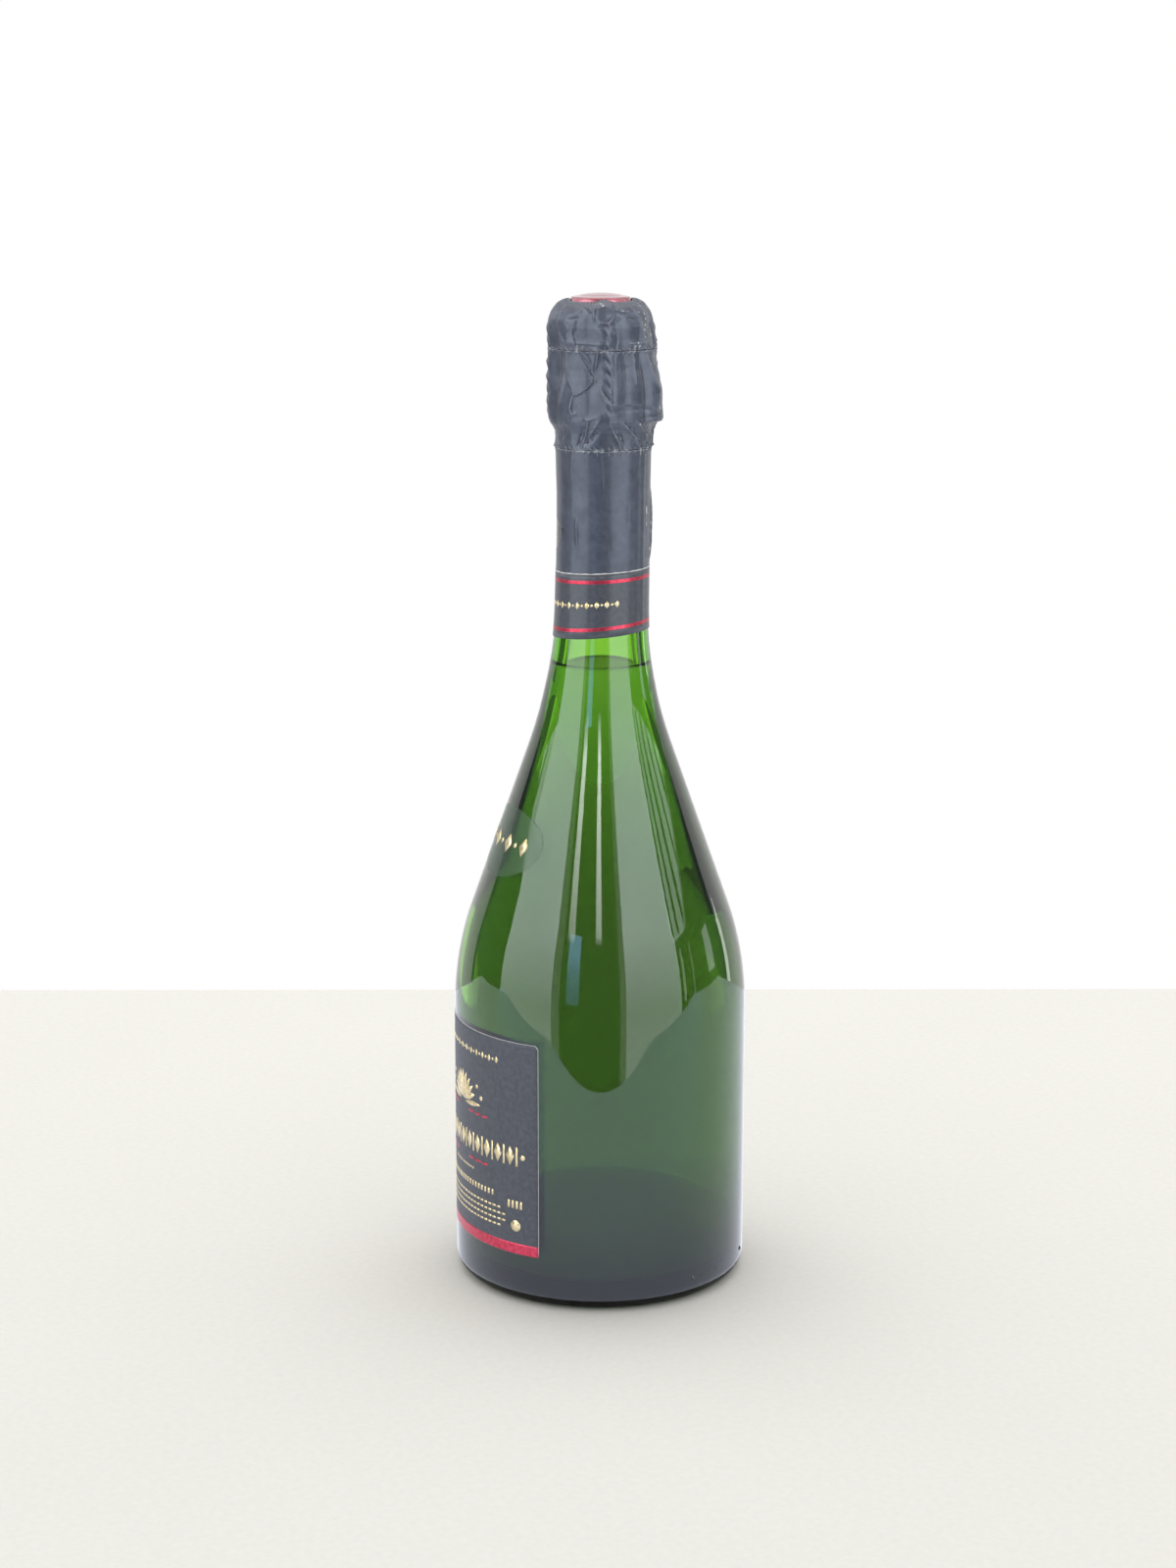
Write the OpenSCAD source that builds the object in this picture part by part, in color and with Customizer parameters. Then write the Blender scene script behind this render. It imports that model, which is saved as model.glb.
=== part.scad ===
// Champagne bottle, 75 cl, full and dressed: glass, wine, cork, wire hood with its plaque,
// foil with a tear-off strip, and labels. Millimetres, +Z up, standing on z = 0.
// The middle of the front label looks along -Y. Angles run anticlockwise from +X.

/* [Bottle] */
// Outside diameter of the body
body_d = 94.5; // [90:0.5:98]
// Height of the glass, from the surface it stands on to the top of the lip
glass_h = 300; // [296:1:304]
// Height at which the straight body ends and the shoulder begins
body_top = 89.5; // [88:0.5:92]
// Radius of the shoulder's outward curve, in section
shoulder_r = 100; // [90:1:104]
// Slope of the cone between shoulder and neck, measured from upright
cone_angle = 19.5; // [19:0.1:19.8]
// Radius of the inward curve between cone and neck, in section
neck_curve_r = 138; // [130:1:142]
// Outside diameter at the foot of the neck
neck_d = 29.8; // [29.4:0.1:30]
// Outside diameter of the ring that the wire hood grips
ring_d = 31.6; // [31.2:0.1:31.7]
// Outside diameter of the lip
lip_d = 28.8; // [28:0.1:29]
// Diameter of the bore that holds the cork
bore_d = 17.6; // [17:0.1:18]
// Thickness of the body's wall
wall = 3.9; // [3.7:0.1:4.2]
// Depth of the hollow in the base
punt_h = 30; // [28:0.5:31]
// Height of the wine
wine_top = 203; // [195:1:210]

/* [Cork] */
// Radial clearance of the shank in the bore
cork_gap = 0.05; // [0.03:0.01:0.08]
// Length of the shank in the neck
shank_h = 24; // [22:1:25]
// Thickness of each natural cork disc at the foot of the shank
disc_h = 5.5; // [4:0.5:7]
// Diameter of the head
head_d = 29; // [27:0.5:29]

/* [Wire hood] */
// Diameter of the wire of the four legs
leg_wire_d = 0.9; // [0.8:0.05:0.95]
// Diameter of the wire of the belt
belt_wire_d = 1.2; // [1:0.1:1.3]
// Full turns that the two strands of a leg make
leg_turns = 5; // [4:1:6]
// Direction of the first leg
leg_turn0 = -16; // [-18:1:-14]
// Direction of the twisted eyelet
eyelet_turn = 52; // [50:1:54]

/* [Foil] */
// Thickness of the foil
foil_t = 0.2; // [0.15:0.01:0.25]
// Lower line of perforations, below the lip
tear_low = 29.5; // [29.2:0.1:30.5]
// Upper line of perforations, above the lip
tear_high = 1; // [0.5:0.1:1.5]

/* [Labels] */
// Thickness of the paper
paper_t = 0.12; // [0.1:0.01:0.15]
// Width of the front label, measured round the glass
front_w = 73; // [70:0.5:76]
// Height of the front label
front_h = 70.2; // [66:0.2:71]
// Height of the front label's lower edge above the surface
front_low = 16.9; // [14:0.1:18]
// Width and height of the clear oval label on the cone
oval_w = 41; // [36:0.5:42]
oval_h = 23; // [20:0.5:24]
// Height of the middle of the oval
oval_mid = 146.3; // [144:0.1:148]
// Heights of the collar's edges on the axis
collar_low = 211.9; // [211:0.1:213]
collar_high = 232.1; // [231:0.1:233]

/* [Hidden] */
$fn = 96;

body_r = body_d / 2;
heel_r = 6;                 // outer corner of the base
rest_w = 1.6;               // flat ring that the bottle stands on

// Points of an arc about c, from angle a to angle b
function arc(c, r, a, b, n) = [for (i = [0:n])
    let (t = a + (b - a) * i / n) [c[0] + r * cos(t), c[1] + r * sin(t)]];

// The outside of the glass, from the heel up to the groove under the ring
shoulder_c = [body_r - shoulder_r, body_top];
cone_low = shoulder_c + shoulder_r * [cos(cone_angle), sin(cone_angle)];
neck_lean = 0.6;            // the neck narrows upwards by this slope
curve_end_r = neck_d / 2;
curve_start_r = curve_end_r + neck_curve_r * (cos(neck_lean) - cos(cone_angle));
curve_start_z = cone_low[1] + (cone_low[0] - curve_start_r) / tan(cone_angle);
curve_end_z = curve_start_z + neck_curve_r * (sin(cone_angle) - sin(neck_lean));
curve_c = [curve_end_r + neck_curve_r * cos(neck_lean),
           curve_end_z + neck_curve_r * sin(neck_lean)];
groove_low = glass_h - 29.5; // where the neck draws in to the groove
groove_r = 13.7;
ring_low = glass_h - 18.5;  // underside of the ring
ring_top = glass_h - 11;

function cone_r(z) = cone_low[0] - (z - cone_low[1]) * tan(cone_angle);
function neck_r(z) = curve_end_r - (z - curve_end_z) * tan(neck_lean);
curve_pts = arc(curve_c, neck_curve_r, 180 + cone_angle, 180 + neck_lean, 12);
skirt_low = 224;            // the foil's lower edge, under the collar
neck_pts = [for (z = [curve_end_z + 0.01, skirt_low, 232, 250, groove_low]) [neck_r(z), z]];

outside = concat(
    arc([body_r - heel_r, heel_r], heel_r, -90, 0, 8),
    arc(shoulder_c, shoulder_r, 0, cone_angle, 10),
    curve_pts,
    [for (p = neck_pts) if (p[1] > curve_end_z) p],
    [[groove_r + 0.3, groove_low + 3], [groove_r, groove_low + 5.5], [groove_r, ring_low - 1.5],
     [groove_r + 0.7, ring_low - 0.4], [ring_d / 2 - 0.5, ring_low + 0.6]],
    arc([ring_d / 2 - 1.6, ring_top - 1.6], 1.6, 0, 90, 5),
    [[groove_r - 0.3, ring_top + 0.4], [groove_r - 0.6, ring_top + 2.5],
     [groove_r - 0.4, glass_h - 5.4]],
    arc([lip_d / 2 - 1.7, glass_h - 3.4], 1.7, -60, 0, 4),
    arc([lip_d / 2 - 2.6, glass_h - 2.6], 2.6, 0, 90, 6));

// The inside, from the mouth down
bore_r = bore_d / 2;
bore_low = glass_h - 28;    // the straight bore ends a little below the shank
inner_neck_r = 9.9;
neck_wall = 4.7;
inside = concat(
    arc([bore_r + 1.3, glass_h - 1.3], 1.3, 90, 180, 4),
    [[bore_r, bore_low], [inner_neck_r, 246], [inner_neck_r + 0.2, 226]],
    arc(curve_c, neck_curve_r + neck_wall, 180 + neck_lean + 1, 180 + cone_angle, 10),
    arc(shoulder_c, shoulder_r - wall, cone_angle, 0, 10));

// The hollow in the base, outside and inside: a round top that runs out in a cone
punt_in = 6;                // glass over the top of the hollow
punt_r = 34;                // radius of the round top, outside
floor_r = 37.5;             // and inside
punt_turn = 52;             // the round top goes this far round from the axis
corner_w = 2.5;             // radius of the inner corner beside the cone
function cap(top, r) = [for (i = [0:10]) let (t = punt_turn * i / 10)
    [r * sin(t), top - r + r * cos(t)]];
punt = concat(cap(punt_h, punt_r), [[body_r - heel_r - rest_w, 0]]);
floor_pts = cap(punt_h + punt_in, floor_r);
corner_r = body_r - wall - corner_w;
corner_z = punt_h + punt_in - floor_r
    + (floor_r + corner_w - sin(punt_turn) * corner_r) / cos(punt_turn);
inner_corner = arc([corner_r, corner_z], corner_w, 0, -90 - punt_turn, 8);

inner_wall = concat(inside, inner_corner, [for (i = [len(floor_pts) - 1:-1:0]) floor_pts[i]]);

module glass_bottle() {
    color("darkolivegreen", 0.6)
    union() {
        rotate_extrude()
            polygon(concat(punt, outside, inner_wall));
        heel_marks();
    }
}

// Moulded pips on the heel that the filling line reads
module heel_marks() {
    for (a = [17.6, 22.2, 26.9, 31.6, 55.1])
        rotate([0, 0, a])
            translate([body_r - 0.55, 0, 8]) sphere(d = 2, $fn = 24);
}

// Wine: all of the inside below its level
module wine() {
    color("goldenrod")
    intersection() {
        rotate_extrude() polygon(concat([[0, glass_h - 40]],
            [for (p = inner_wall) if (p[1] < glass_h - 40) p]));
        cylinder(r = body_r, h = wine_top);
    }
}

// Cork: two natural discs at the foot of a pressed-granule body with a mushroom head
shank_r = bore_r - cork_gap;
cork_foot = glass_h - shank_h;

module cork_disc(low) {
    color("burlywood")
    translate([0, 0, low]) cylinder(r = shank_r, h = disc_h);
}

module cork_body() {
    head_r = head_d / 2;
    color("tan")
    rotate_extrude() polygon(concat(
        [[0, cork_foot + 2 * disc_h], [shank_r, cork_foot + 2 * disc_h],
         [shank_r, glass_h + 0.3]],
        arc([head_r - 3.2, glass_h + 3.5], 3.2, -90, 0, 5),
        arc([head_r - 5.4, glass_h + 7], 5.4, 0, 62, 6),
        [[8, glass_h + 13.6], [4, glass_h + 14.4], [0, glass_h + 14.7]]));
}

// Plaque: a pressed disc with a raised middle, a channel for the wire and four notches
plaque_t = 0.3;
notch_r = 1.3;
dome_top = glass_h + 18;
channel_z = glass_h + 13.9;
plaque_top = concat(
    [for (r = [0:2:10]) [r, dome_top - r * r / 84]],
    [[10.6, dome_top - 2], [10.9, channel_z + 0.4], [11.2, channel_z],
     [12, channel_z - 0.12], [13, channel_z - 0.7], [14.1, channel_z - 1.7],
     [14.8, channel_z - 2.8], [15, channel_z - 3.6]]);

module cap_plaque() {
    color("firebrick")
    difference() {
        rotate_extrude() polygon(concat(plaque_top,
            [for (i = [len(plaque_top) - 1:-1:0])
                [max(plaque_top[i][0] - (i > 5 ? plaque_t : 0), 0),
                 plaque_top[i][1] - (i < len(plaque_top) - 1 ? plaque_t : 0)]]));
        for (k = [0:3]) rotate([0, 0, leg_turn0 + 90 * k])
            translate([13.4, 0, glass_h + 14.6]) rotate([0, 153, 0])
                cylinder(r = notch_r, h = 7);
    }
}

// Wire hood. A leg's middle line runs over the plaque's rim and down to the belt.
belt_r = 15.3;
belt_z = ring_low - 2.6;
strand_r = leg_wire_d / 2;
pair_r = strand_r + 0.07;   // from a leg's middle line to each strand's
top_ring_r = 11.7;
top_ring_z = channel_z + strand_r + 0.1;
leg_line = [[11.5, 15], [12.9, 14.6], [14.1, 13.75], [14.9, 12.4], [15.35, 10.5], [15.7, 6],
            [16, 0], [16.5, -6.5], [16.95, -12], [16.95, -16.5], [16.5, -19]];

// A smooth curve through a list of points, at place s from 0 to its last whole number
function through(p, s) = let (m = len(p) - 2, i = min(floor(s), m - 2) + 1, t = s - i + 1,
    a = p[i - 1], b = p[i], c = p[i + 1], d = p[i + 2])
    0.5 * (2 * b + (c - a) * t + (2 * a - 5 * b + 4 * c - d) * t * t
        + (3 * b - a - 3 * c + d) * t * t * t);
leg_ends = concat([2 * leg_line[0] - leg_line[1]], leg_line,
                  [2 * leg_line[len(leg_line) - 1] - leg_line[len(leg_line) - 2]]);
leg_last = len(leg_line) - 1;
function leg_at(u) = through(leg_ends, 1 + (leg_last - 1) * u) + [0, glass_h];
function leg_out(u) = let (d = leg_at(min(u + 0.01, 1)) - leg_at(max(u - 0.01, 0)))
    [-d[1], d[0]] / norm(d);

// A point beside the leg's middle line: turn 0 is outwards, 90 is along the belt
function beside(u, turn, off) = let (c = leg_at(u) + off * cos(turn) * leg_out(u))
    [c[0], off * sin(turn), c[1]];
function spin(p, a) = [p[0] * cos(a) - p[1] * sin(a), p[0] * sin(a) + p[1] * cos(a), p[2]];

leg_steps = 8 * leg_turns;
function strand(side) = [for (i = [0:leg_steps]) let (u = i / leg_steps)
    beside(u, 90 + side + (360 * leg_turns - 90) * u, pair_r)];
eye_r = belt_wire_d / 2 + strand_r + 0.05;
eye = [for (a = [30:-40:-290]) [belt_r + eye_r * cos(a), 0, belt_z + eye_r * sin(a)]];
one_leg = concat(strand(0), eye, [for (i = [leg_steps:-1:0]) strand(180)[i]]);
ring_arc = [for (a = [12:9.5:78]) [top_ring_r * cos(a), top_ring_r * sin(a), top_ring_z]];
cage_line = [for (k = [0:3]) each [for (p = concat(
    [for (i = [len(one_leg) - 1:-1:0]) one_leg[i]], ring_arc)) spin(p, leg_turn0 + 90 * k)]];

// Tube of n sides along a line; its first side is carried along without turning
function cross3(a, b) = [a[1] * b[2] - a[2] * b[1], a[2] * b[0] - a[0] * b[2],
                         a[0] * b[1] - a[1] * b[0]];
function along(p, i) = let (d = p[min(i + 1, len(p) - 1)] - p[max(i - 1, 0)]) d / norm(d);
function square_to(v, t) = let (w = v - (v * t) * t) w / norm(w);
function carried(p, first) = [for (i = 0, v = square_to(first, along(p, 0)); i < len(p);
    i = i + 1, v = i < len(p) ? square_to(v, along(p, i)) : v) v];
module tube(p, r, n, first = [0, 0, 1]) {
    sides = carried(p, first);
    last = len(p) - 1;
    polyhedron(
        points = [for (i = [0:last]) let (t = along(p, i), v = sides[i], w = cross3(t, v))
            each [for (k = [0:n - 1]) p[i] + r * (cos(360 * k / n) * v + sin(360 * k / n) * w)]],
        faces = concat([[for (k = [0:n - 1]) k]],
            [for (i = [0:last - 1]) each [for (k = [0:n - 1]) let (a = i * n + k,
                b = i * n + (k + 1) % n) each [[a, a + n, b], [b, a + n, b + n]]]],
            [[for (k = [n - 1:-1:0]) last * n + k]]));
}

module cage_wire() {
    color("gainsboro") tube(cage_line, strand_r, 6);
}

// Belt: one turn round the neck through the legs' eyes, its ends bent out at the eyelet
belt_bend = 5;
belt_reach = 2.1;           // how far its ends stand out
function belt_end(side) = [for (p = [[belt_reach, 0.68], [1, 0.8]])
    spin([belt_r + p[0], side * p[1], belt_z], eyelet_turn)];
belt_line = concat(
    belt_end(1),
    [for (i = [0:44]) let (a = belt_bend + (360 - 2 * belt_bend) * i / 44)
        spin([belt_r, 0, belt_z], eyelet_turn + a)],
    [belt_end(-1)[1], belt_end(-1)[0]]);

module belt_wire() {
    color("gainsboro") tube(belt_line, belt_wire_d / 2, 8);
}

// Eyelet: the belt's ends twisted into a stem and closed in a loop, folded up at rest
eyelet_pivot = belt_r + 1.95;
stem_h = 6;
loop_r = 3.4;
lean = 0.07;                // the eyelet leans on the hood by this slope
stem_steps = 14;
stem_foot = 1.5;            // the strands stand straight this far before they twist
function stem(side) = concat([[eyelet_pivot, 0.68 * cos(side), belt_z]],
    [for (i = [0:stem_steps]) let (a = side + 540 * i / stem_steps)
        [eyelet_pivot + 0.68 * sin(a), 0.68 * cos(a),
         belt_z + stem_foot + (stem_h - stem_foot) * i / stem_steps]]);
loop_z = belt_z + stem_h + loop_r + 1.1;
eyelet_line = [for (p = concat(stem(180),
        [for (a = [-60:20:240]) [eyelet_pivot, loop_r * cos(a), loop_z + loop_r * sin(a)]],
        [for (i = [stem_steps + 1:-1:0]) stem(0)[i]]))
    spin([p[0] + 0.9 - lean * (p[2] - belt_z), p[1], p[2]], eyelet_turn)];

module belt_eyelet() {
    color("gainsboro") tube(eyelet_line, belt_wire_d / 2, 6, [1, 0, 0]);
}

// Foil: inner face as rows, each with a point over a leg and one between legs
foil_gap = 0.16;
tear_gap = 0.1;             // half the gap at a line of perforations
function over_leg(u) = leg_at(u) + leg_out(u) * (pair_r + strand_r + foil_gap);
hood_over = concat([[11.05, glass_h + 16.25]], [for (u = [0.04, 0.09, 0.14, 0.2, 0.28, 0.38, 0.5])
    over_leg(u)], [[over_leg(0.58)[0], glass_h + tear_high + tear_gap]]);
hood_between = concat([[11.05, 15.4], [12, 15.2], [13.2, 14.5], [14.2, 13.5], [15, 12.3],
                       [15.4, 10.8], [15.4, 8.5], [15.2, 4.5]], [[15.25, tear_high + tear_gap]]);
strip_z = [for (z = [tear_high - tear_gap, -5, -9, -11.5, -15, -18.5, -20.7, -22, -23.1, -24.5,
                     -26.5, tear_gap - tear_low]) glass_h + z];
strip_over = [17.2, 17.5, 17.9, 18.1, 18.12, 18, 17.5, 16.9, 16, 15.2, 14.85, 14.75];
strip_between = [15.25, 15.3, 16, 16.35, 16.4, 16.4, 16.25, 15.9, 15.4, 15, 14.8, 14.75];
swell_r = 19.7;             // inner radius over the folded eyelet
swell = [0.3, 0.62, 0.8, 0.9, 0.96, 1, 1, 0.86, 0.2, 0, 0, 0];
foil_sides = 72;

// 1 over a leg, falling away to 0 on both sides of it
function ridge(a) = let (d = abs(((a - leg_turn0 + 45) % 90 + 90) % 90 - 45))
    d < 22.5 ? pow(cos(4 * d), 2) : 0;
// 1 over the folded eyelet, falling away to 0 on both sides of it
function beside_eyelet(a) = let (d = (((a - eyelet_turn + 180) % 360 + 360) % 360 - 180) / 24)
    abs(d) < 1 ? pow(cos(90 * d), 0.7) : 0;

module foil_shell(rows) {
    // rows of inner points for one direction come from the function rows(a)
    n = foil_sides;
    inner = [for (j = [0:n - 1]) rows(leg_turn0 + 360 * j / n)];
    m = len(inner[0]);
    outer = [for (c = inner) [for (i = [0:m - 1]) let (
        d = c[min(i + 1, m - 1)] - c[max(i - 1, 0)], e = [-d[1], d[0]] / norm(d))
        c[i] + foil_t * (i == 0 || i == m - 1 ? [1, 0] * (e[0] > 0.7 ? 1 : 0)
            + [0, 1] * (e[0] > 0.7 ? 0 : 1) : e)]];
    function at(c, j, i) = let (a = leg_turn0 + 360 * j / n) spin([c[j][i][0], 0, c[j][i][1]], a);
    points = concat([for (j = [0:n - 1]) each [for (i = [0:m - 1]) at(outer, j, i)]],
                    [for (j = [0:n - 1]) each [for (i = [0:m - 1]) at(inner, j, i)]]);
    k0 = n * m;
    polyhedron(points = points, faces = [for (j = [0:n - 1]) let (a = j * m,
        b = ((j + 1) % n) * m) each concat(
        [for (i = [0:m - 2]) each [[a + i, b + i, a + i + 1], [b + i, b + i + 1, a + i + 1]]],
        [for (i = [0:m - 2]) each [[k0 + a + i, k0 + a + i + 1, k0 + b + i],
                                   [k0 + b + i, k0 + a + i + 1, k0 + b + i + 1]]],
        [[a, k0 + a, b], [b, k0 + a, k0 + b]],
        [[a + m - 1, b + m - 1, k0 + a + m - 1], [b + m - 1, k0 + b + m - 1, k0 + a + m - 1]])]);
}

module foil_hood() {
    color("dimgray") foil_shell(function (a) let (w = ridge(a)) [for (i = [0:len(hood_over) - 1])
        let (q = hood_between[i] + [0, glass_h]) q + w * (hood_over[i] - q)]);
}

module foil_tear_strip() {
    color("dimgray") foil_shell(function (a) let (w = ridge(a), e = beside_eyelet(a))
        [for (i = [0:len(strip_z) - 1]) let (
            low = strip_between[i],
            leg = low + w * (strip_over[i] - low),
            lump = low + e * swell[i] * (swell_r - low)) [max(leg, lump), strip_z[i]]]);
}

// Foil on the neck, tucked under the collar
wrap_gap = 0.01;            // air under what is wrapped round the glass
skirt_pts = [for (z = [skirt_low, 232, 250, glass_h - tear_low - tear_gap]) [neck_r(z) + wrap_gap, z]];
module foil_skirt() {
    color("dimgray")
    rotate_extrude() polygon(concat(skirt_pts,
        [for (i = [len(skirt_pts) - 1:-1:0]) skirt_pts[i] + [foil_t, 0]]));
}

// Collar: a paper band wound a little askew, over the glass and the foil's edge
collar_face = concat([for (p = curve_pts) if (p[1] > 200) p + [wrap_gap, 0]],
    [for (z = [skirt_low, 232, 250]) [neck_r(z) + wrap_gap, z]]);
module collar_label() {
    color("black")
    intersection() {
        difference() {
            rotate_extrude() polygon(concat(
                [for (p = collar_face) if (p[1] <= skirt_low) p],
                [for (p = collar_face) if (p[1] >= skirt_low) p + [foil_t, 0]],
                [for (i = [len(collar_face) - 1:-1:0]) collar_face[i] + [foil_t + paper_t, 0]]));
            translate([0, 0, collar_high]) tilt(2.6) translate([-30, -30, 0]) cube([60, 60, 30]);
            translate([0, 0, collar_low]) tilt(5.1) translate([-30, -30, -30]) cube([60, 60, 30]);
        }
    }
}
module tilt(a) {
    rotate([0, 0, 68.5]) rotate([0, -a, 0]) children();
}

// Front label: a rounded rectangle pressed on the body
module front_label() {
    half = body_r * sin(front_w / 2 / body_r * 180 / PI);
    corner = 2;
    color("dimgray")
    intersection() {
        difference() {
            cylinder(r = body_r + paper_t, h = 100);
            translate([0, 0, -1]) cylinder(r = body_r, h = 102);
        }
        translate([0, 0, front_low]) rotate([90, 0, 0]) linear_extrude(60) union() {
            translate([-half + corner, 0]) square([2 * (half - corner), front_h]);
            translate([-half, corner]) square([2 * half, front_h - 2 * corner]);
            for (x = [-1, 1], y = [corner, front_h - corner])
                translate([x * (half - corner), y]) circle(corner);
        }
    }
}

// Clear oval on the cone
module oval_label() {
    half = oval_w / 2;
    color("lightgray", 0.4)
    intersection() {
        rotate_extrude() polygon([[cone_r(125), 125], [cone_r(125) + paper_t, 125],
            [cone_r(170) + paper_t, 170], [cone_r(170), 170]]);
        translate([0, 0, oval_mid]) rotate([90, 0, 0]) linear_extrude(60)
            polygon([for (a = [0:7.5:352.5]) [0.94 * half * cos(a), 0.94 * oval_h / 2 * sin(a)]]);
    }
}

glass_bottle();
wine();
cork_body();
cork_disc(cork_foot + disc_h);  // cork_disc_upper
cork_disc(cork_foot);  // cork_disc_lower
cap_plaque();
cage_wire();
belt_wire();
belt_eyelet();
foil_hood();
foil_tear_strip();
foil_skirt();
collar_label();
front_label();
oval_label();
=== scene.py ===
import math

import bpy
import numpy as np
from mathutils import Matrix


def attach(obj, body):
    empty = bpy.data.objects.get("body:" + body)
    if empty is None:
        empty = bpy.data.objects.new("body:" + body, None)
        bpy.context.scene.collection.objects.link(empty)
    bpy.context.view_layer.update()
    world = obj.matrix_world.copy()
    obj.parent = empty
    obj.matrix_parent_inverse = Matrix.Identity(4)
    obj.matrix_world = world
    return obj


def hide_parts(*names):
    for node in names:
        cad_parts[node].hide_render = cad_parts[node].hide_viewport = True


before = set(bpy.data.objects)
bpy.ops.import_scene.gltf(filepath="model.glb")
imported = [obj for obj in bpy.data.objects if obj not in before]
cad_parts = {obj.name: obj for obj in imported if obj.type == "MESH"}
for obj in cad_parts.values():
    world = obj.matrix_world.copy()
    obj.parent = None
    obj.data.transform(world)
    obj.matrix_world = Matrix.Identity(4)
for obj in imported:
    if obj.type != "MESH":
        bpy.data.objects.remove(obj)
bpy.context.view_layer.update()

# A full champagne bottle on a pale table. Sizes are in millimetres until a mesh is made.
# Directions run anticlockwise from +X, in degrees; the front label looks along -90.
mm = 0.001
turn = math.radians(68.5)       # the camera stands this far round from the label's front
scene = bpy.context.scene
scene.view_settings.view_transform = "Standard"


# Small tools
def toLinear(hexColour, alpha=1.0):
    # sRGB hex to linear light, channel by channel
    parts = [int(hexColour[i:i + 2], 16) / 255 for i in (1, 3, 5)]
    return tuple(p / 12.92 if p <= 0.04045 else ((p + 0.055) / 1.055) ** 2.4 for p in parts) + (alpha,)


def addNode(tree, kind, settings=None, out=0, into=None):
    # a socket among the settings is linked, any other value is set; gives one of the node's outputs,
    # linked on into a socket where one is named
    node = tree.nodes.new("ShaderNode" + kind)
    for key, value in (settings or {}).items():
        if isinstance(value, bpy.types.NodeSocket):
            tree.links.new(value, node.inputs[key])
        elif isinstance(key, int) or key in node.inputs:
            node.inputs[key].default_value = value
        else:
            setattr(node, key, value)
    if into:
        tree.links.new(node.outputs[out], into)
    return node.outputs[out] if node.outputs else None


def setStops(ramp, *stops):
    # (position, hex colour or grey level) from low to high, on the colour ramp that this socket belongs to
    for i, (position, colour) in enumerate(stops):
        elements = ramp.node.color_ramp.elements
        stop = elements[i] if i < 2 else elements.new(position)
        stop.position = position
        stop.color = toLinear(colour) if isinstance(colour, str) else (colour, colour, colour, 1)
    return ramp


def newFinish(name, settings):
    # a material with one Principled shader, its sockets set as constants
    finish = bpy.data.materials.new(name)
    finish.use_nodes = True
    shader = finish.node_tree.nodes["Principled BSDF"]
    for key, value in settings.items():
        shader.inputs[key].default_value = value
    return finish, finish.node_tree, shader.inputs


def polar(radius, angle, height):
    # points at these radii and heights, angle in radians
    return np.stack(np.broadcast_arrays(radius * np.cos(angle), radius * np.sin(angle), height), -1)


def part(x, start, over):
    # 0 up to start, 1 from start + over on; over below 0 turns it round
    return np.clip((x - start) / over, 0, 1)


def offBy(angle, middle, span=360):
    # how far the angle is from the nearest of the middles, one in every span
    return (angle - middle + span / 2) % span - span / 2


def leftOf(step):
    # unit normals to the left of each step of a line in section
    return np.stack([-step[..., 1], step[..., 0]], -1) / np.linalg.norm(step, axis=-1)[..., None]


# how this bottle stands, by height: lean to the camera's right in mm, and a factor that draws it in
stance = {
    "leanAt": [190, 215, 245, 293, 303, 309],
    "lean": [0, 0.4, 0.95, 0.9, 0.3, 0.05],
    "drawnAt": [195, 207, 235, 262, 272, 281, 300, 304, 308, 310.2, 312.1, 313.9, 315.7, 318],
    "drawn": [1, 0.985, 0.985, 1, 1, 0.965, 0.965, 0.985, 1, 0.98, 0.957, 0.93, 0.9, 0.88],
}


def leaned(points):
    # x and y times the drawing factor at the point's height, then the lean added
    points = np.array(points, float)
    z = points[:, 2]
    points[:, :2] *= np.interp(z, stance["drawnAt"], stance["drawn"])[:, None]
    lean = np.interp(z, stance["leanAt"], stance["lean"])
    return points + lean[:, None] * [math.cos(turn), math.sin(turn), 0]


def meshFrom(name, points, faces):
    # points in mm; faces is a list of whole index arrays, each (count, corners)
    points = leaned(points)
    mesh = bpy.data.meshes.new(name)
    mesh.vertices.add(len(points))
    mesh.vertices.foreach_set("co", (points * mm).ravel())
    loops = np.concatenate([f.ravel() for f in faces]).astype(np.int32)
    totals = np.concatenate([np.full(len(f), f.shape[1]) for f in faces]).astype(np.int32)
    mesh.loops.add(len(loops))
    mesh.loops.foreach_set("vertex_index", loops)
    mesh.polygons.add(len(totals))
    mesh.polygons.foreach_set("loop_start", np.concatenate([[0], np.cumsum(totals)[:-1]]).astype(np.int32))
    mesh.polygons.foreach_set("loop_total", totals)
    mesh.polygons.foreach_set("use_smooth", np.ones(len(totals), bool))
    mesh.update(calc_edges=True)
    piece = bpy.data.objects.new(name, mesh)
    scene.collection.objects.link(piece)
    return piece


oneFace = [np.array([[0, 1, 2, 3]])]


def gridFaces(rows, cols, wrapRows, wrapCols, start=0):
    # quads of a rows x cols grid of points, closed round either way
    i = np.arange(rows if wrapRows else rows - 1)[:, None]
    j = np.arange(cols if wrapCols else cols - 1)[None, :]
    a, b = i * cols + j, i * cols + (j + 1) % cols
    c, d = ((i + 1) % rows) * cols + (j + 1) % cols, ((i + 1) % rows) * cols + j
    return np.stack([a, b, c, d], -1).reshape(-1, 4) + start


def outward(points, faces):
    # turns every face round where the enclosed volume comes out negative
    volume = 0.0
    for f in faces:
        p = points[f]
        for k in range(1, f.shape[1] - 1):
            volume += np.einsum("ij,ij->i", p[:, 0], np.cross(p[:, k], p[:, k + 1])).sum()
    return faces if volume > 0 else [f[:, ::-1] for f in faces]


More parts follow.
